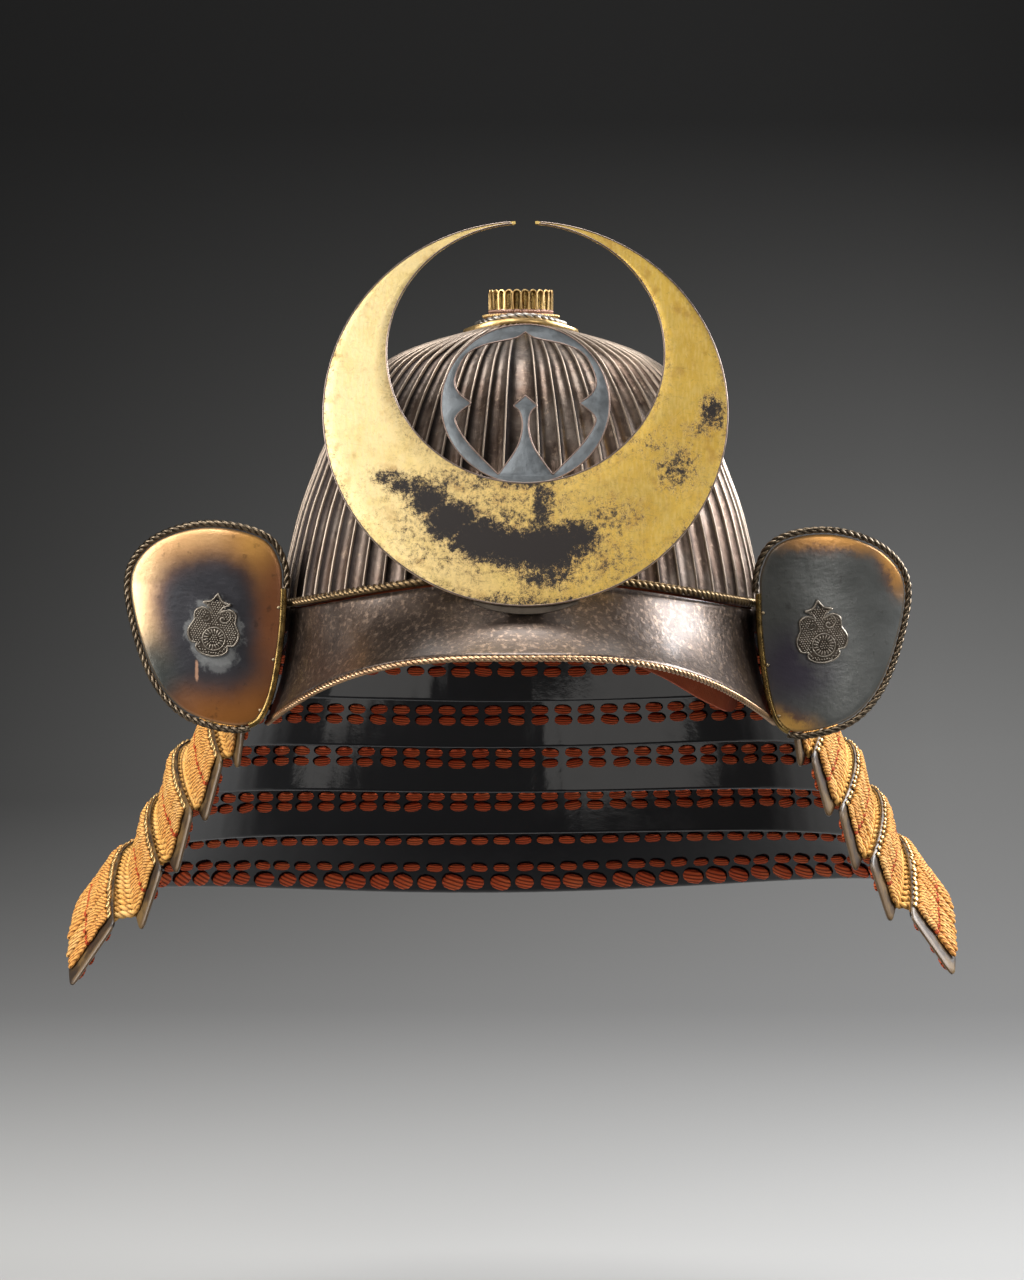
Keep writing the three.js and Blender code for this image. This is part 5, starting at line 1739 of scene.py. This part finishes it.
def make_floor():
    stage = Finish("floor_paint", (0.33, 0.329, 0.325), roughness=0.85,
                   Specular_IOR_Level=0.1)
    parts = add(stage.tree, "ShaderNodeSeparateXYZ", stage.place).outputs
    rise = calc(stage.tree, "ADD", parts["Y"], calc(stage.tree, "ADD", parts["Z"], -FLOOR * MM))
    for start, end, colour in BACKDROP:
        stage.coat(ramp(stage.tree, rise, start, end), colour)
    left = ramp(stage.tree, parts["X"], -0.6, 0.4, 1.0, 0.0)
    wall_only = ramp(stage.tree, rise, 0.9, 1.5)
    stage.coat(stage.masked(left, wall_only), (0.01, 0.01, 0.01), 0.8)
    material = stage.done()
    bend = np.linspace(0, pi / 2, 13)
    line = [(-2600, 0)] + [(y, 0) for y in np.linspace(-900, 900, 10)]
    line += [(900 + 900 * sin(a), 900 - 900 * cos(a)) for a in bend[1:]] + [(1800, 3200)]
    x = np.linspace(-4200, 4200, 3)
    points = [(a, y, FLOOR + z) for y, z in line for a in x]
    return new_piece("floor", points, quads(len(line), len(x)), material, angle=80)


floor = make_floor()
print("floor at", FLOOR, "mm")

# %% [markdown]
# The key light stands high in front, to the left. A long box to the right and one to the left
# draw the ribs and the edges, and a broad one overhead lights the bowl's top. Two dim ones near
# the floor are mirrored by the black lacquer as two pale fields with a dark band between them,
# and one light behind washes the floor. A dim sky fills the rest. The view transform is the plain
# one, so that colours come out as they are painted.

# %% Lights
LIGHTS = [  # place in metres, where it points, size across and up, watts, colour
    ("key", (-0.6, -1.15, 0.62), (0, 0, 0.08), (0.7, 0.6), 9.0, (1.0, 0.96, 0.92)),
    ("right_box", (1.12, 0.3, 0.54), (0, 0, 0.02), (1.3, 0.5), 37, (0.97, 0.98, 1.0)),
    ("front_right", (0.7, -1.3, 0.3), (0, 0, 0), (0.4, 0.5), 4, (1.0, 0.98, 0.96)),
    ("left_box", (-1.15, -0.4, 0.3), (0, 0, 0), (0.6, 0.8), 13, (1.0, 0.98, 0.95)),
    ("top", (0.0, -0.1, 1.5), (0, 0, 0), (0.9, 0.7), 24, (1.0, 0.99, 0.97)),
    ("low_right", (0.64, -0.38, -0.4), (0.64, -0.38, 0), (0.65, 0.55), 0.9, (1.0, 0.97, 0.93)),
    ("low_left", (-0.43, -0.42, -0.4), (-0.43, -0.42, 0), (0.74, 0.5), 0.9, (1.0, 0.97, 0.93)),
    ("floor_wash", (0.0, 0.8, 1.4), (0, 0.9, -0.42), (1.6, 0.5), 7, (1.0, 0.99, 0.97)),
]


def make_light(name, place, target, size, watts, colour):
    data = bpy.data.lights.new(name, "AREA")
    data.shape = "RECTANGLE"
    data.size, data.size_y = size
    data.energy = watts
    data.color = colour
    light = link(name, data)
    light.location = place
    aim = Vector(target) - Vector(place)
    light.rotation_euler = aim.to_track_quat("-Z", "Y").to_euler()
    light.visible_camera = False
    return light


lights = [make_light(*row) for row in LIGHTS]
world = bpy.data.worlds.new("studio")
world.use_nodes = True
sky = world.node_tree.nodes["Background"].inputs
sky["Color"].default_value = (0.5, 0.52, 0.55, 1)
sky["Strength"].default_value = 0.06
bpy.context.scene.world = world
bpy.context.scene.view_settings.view_transform = "Standard"
print("lights:", len(lights))

# %% [markdown]
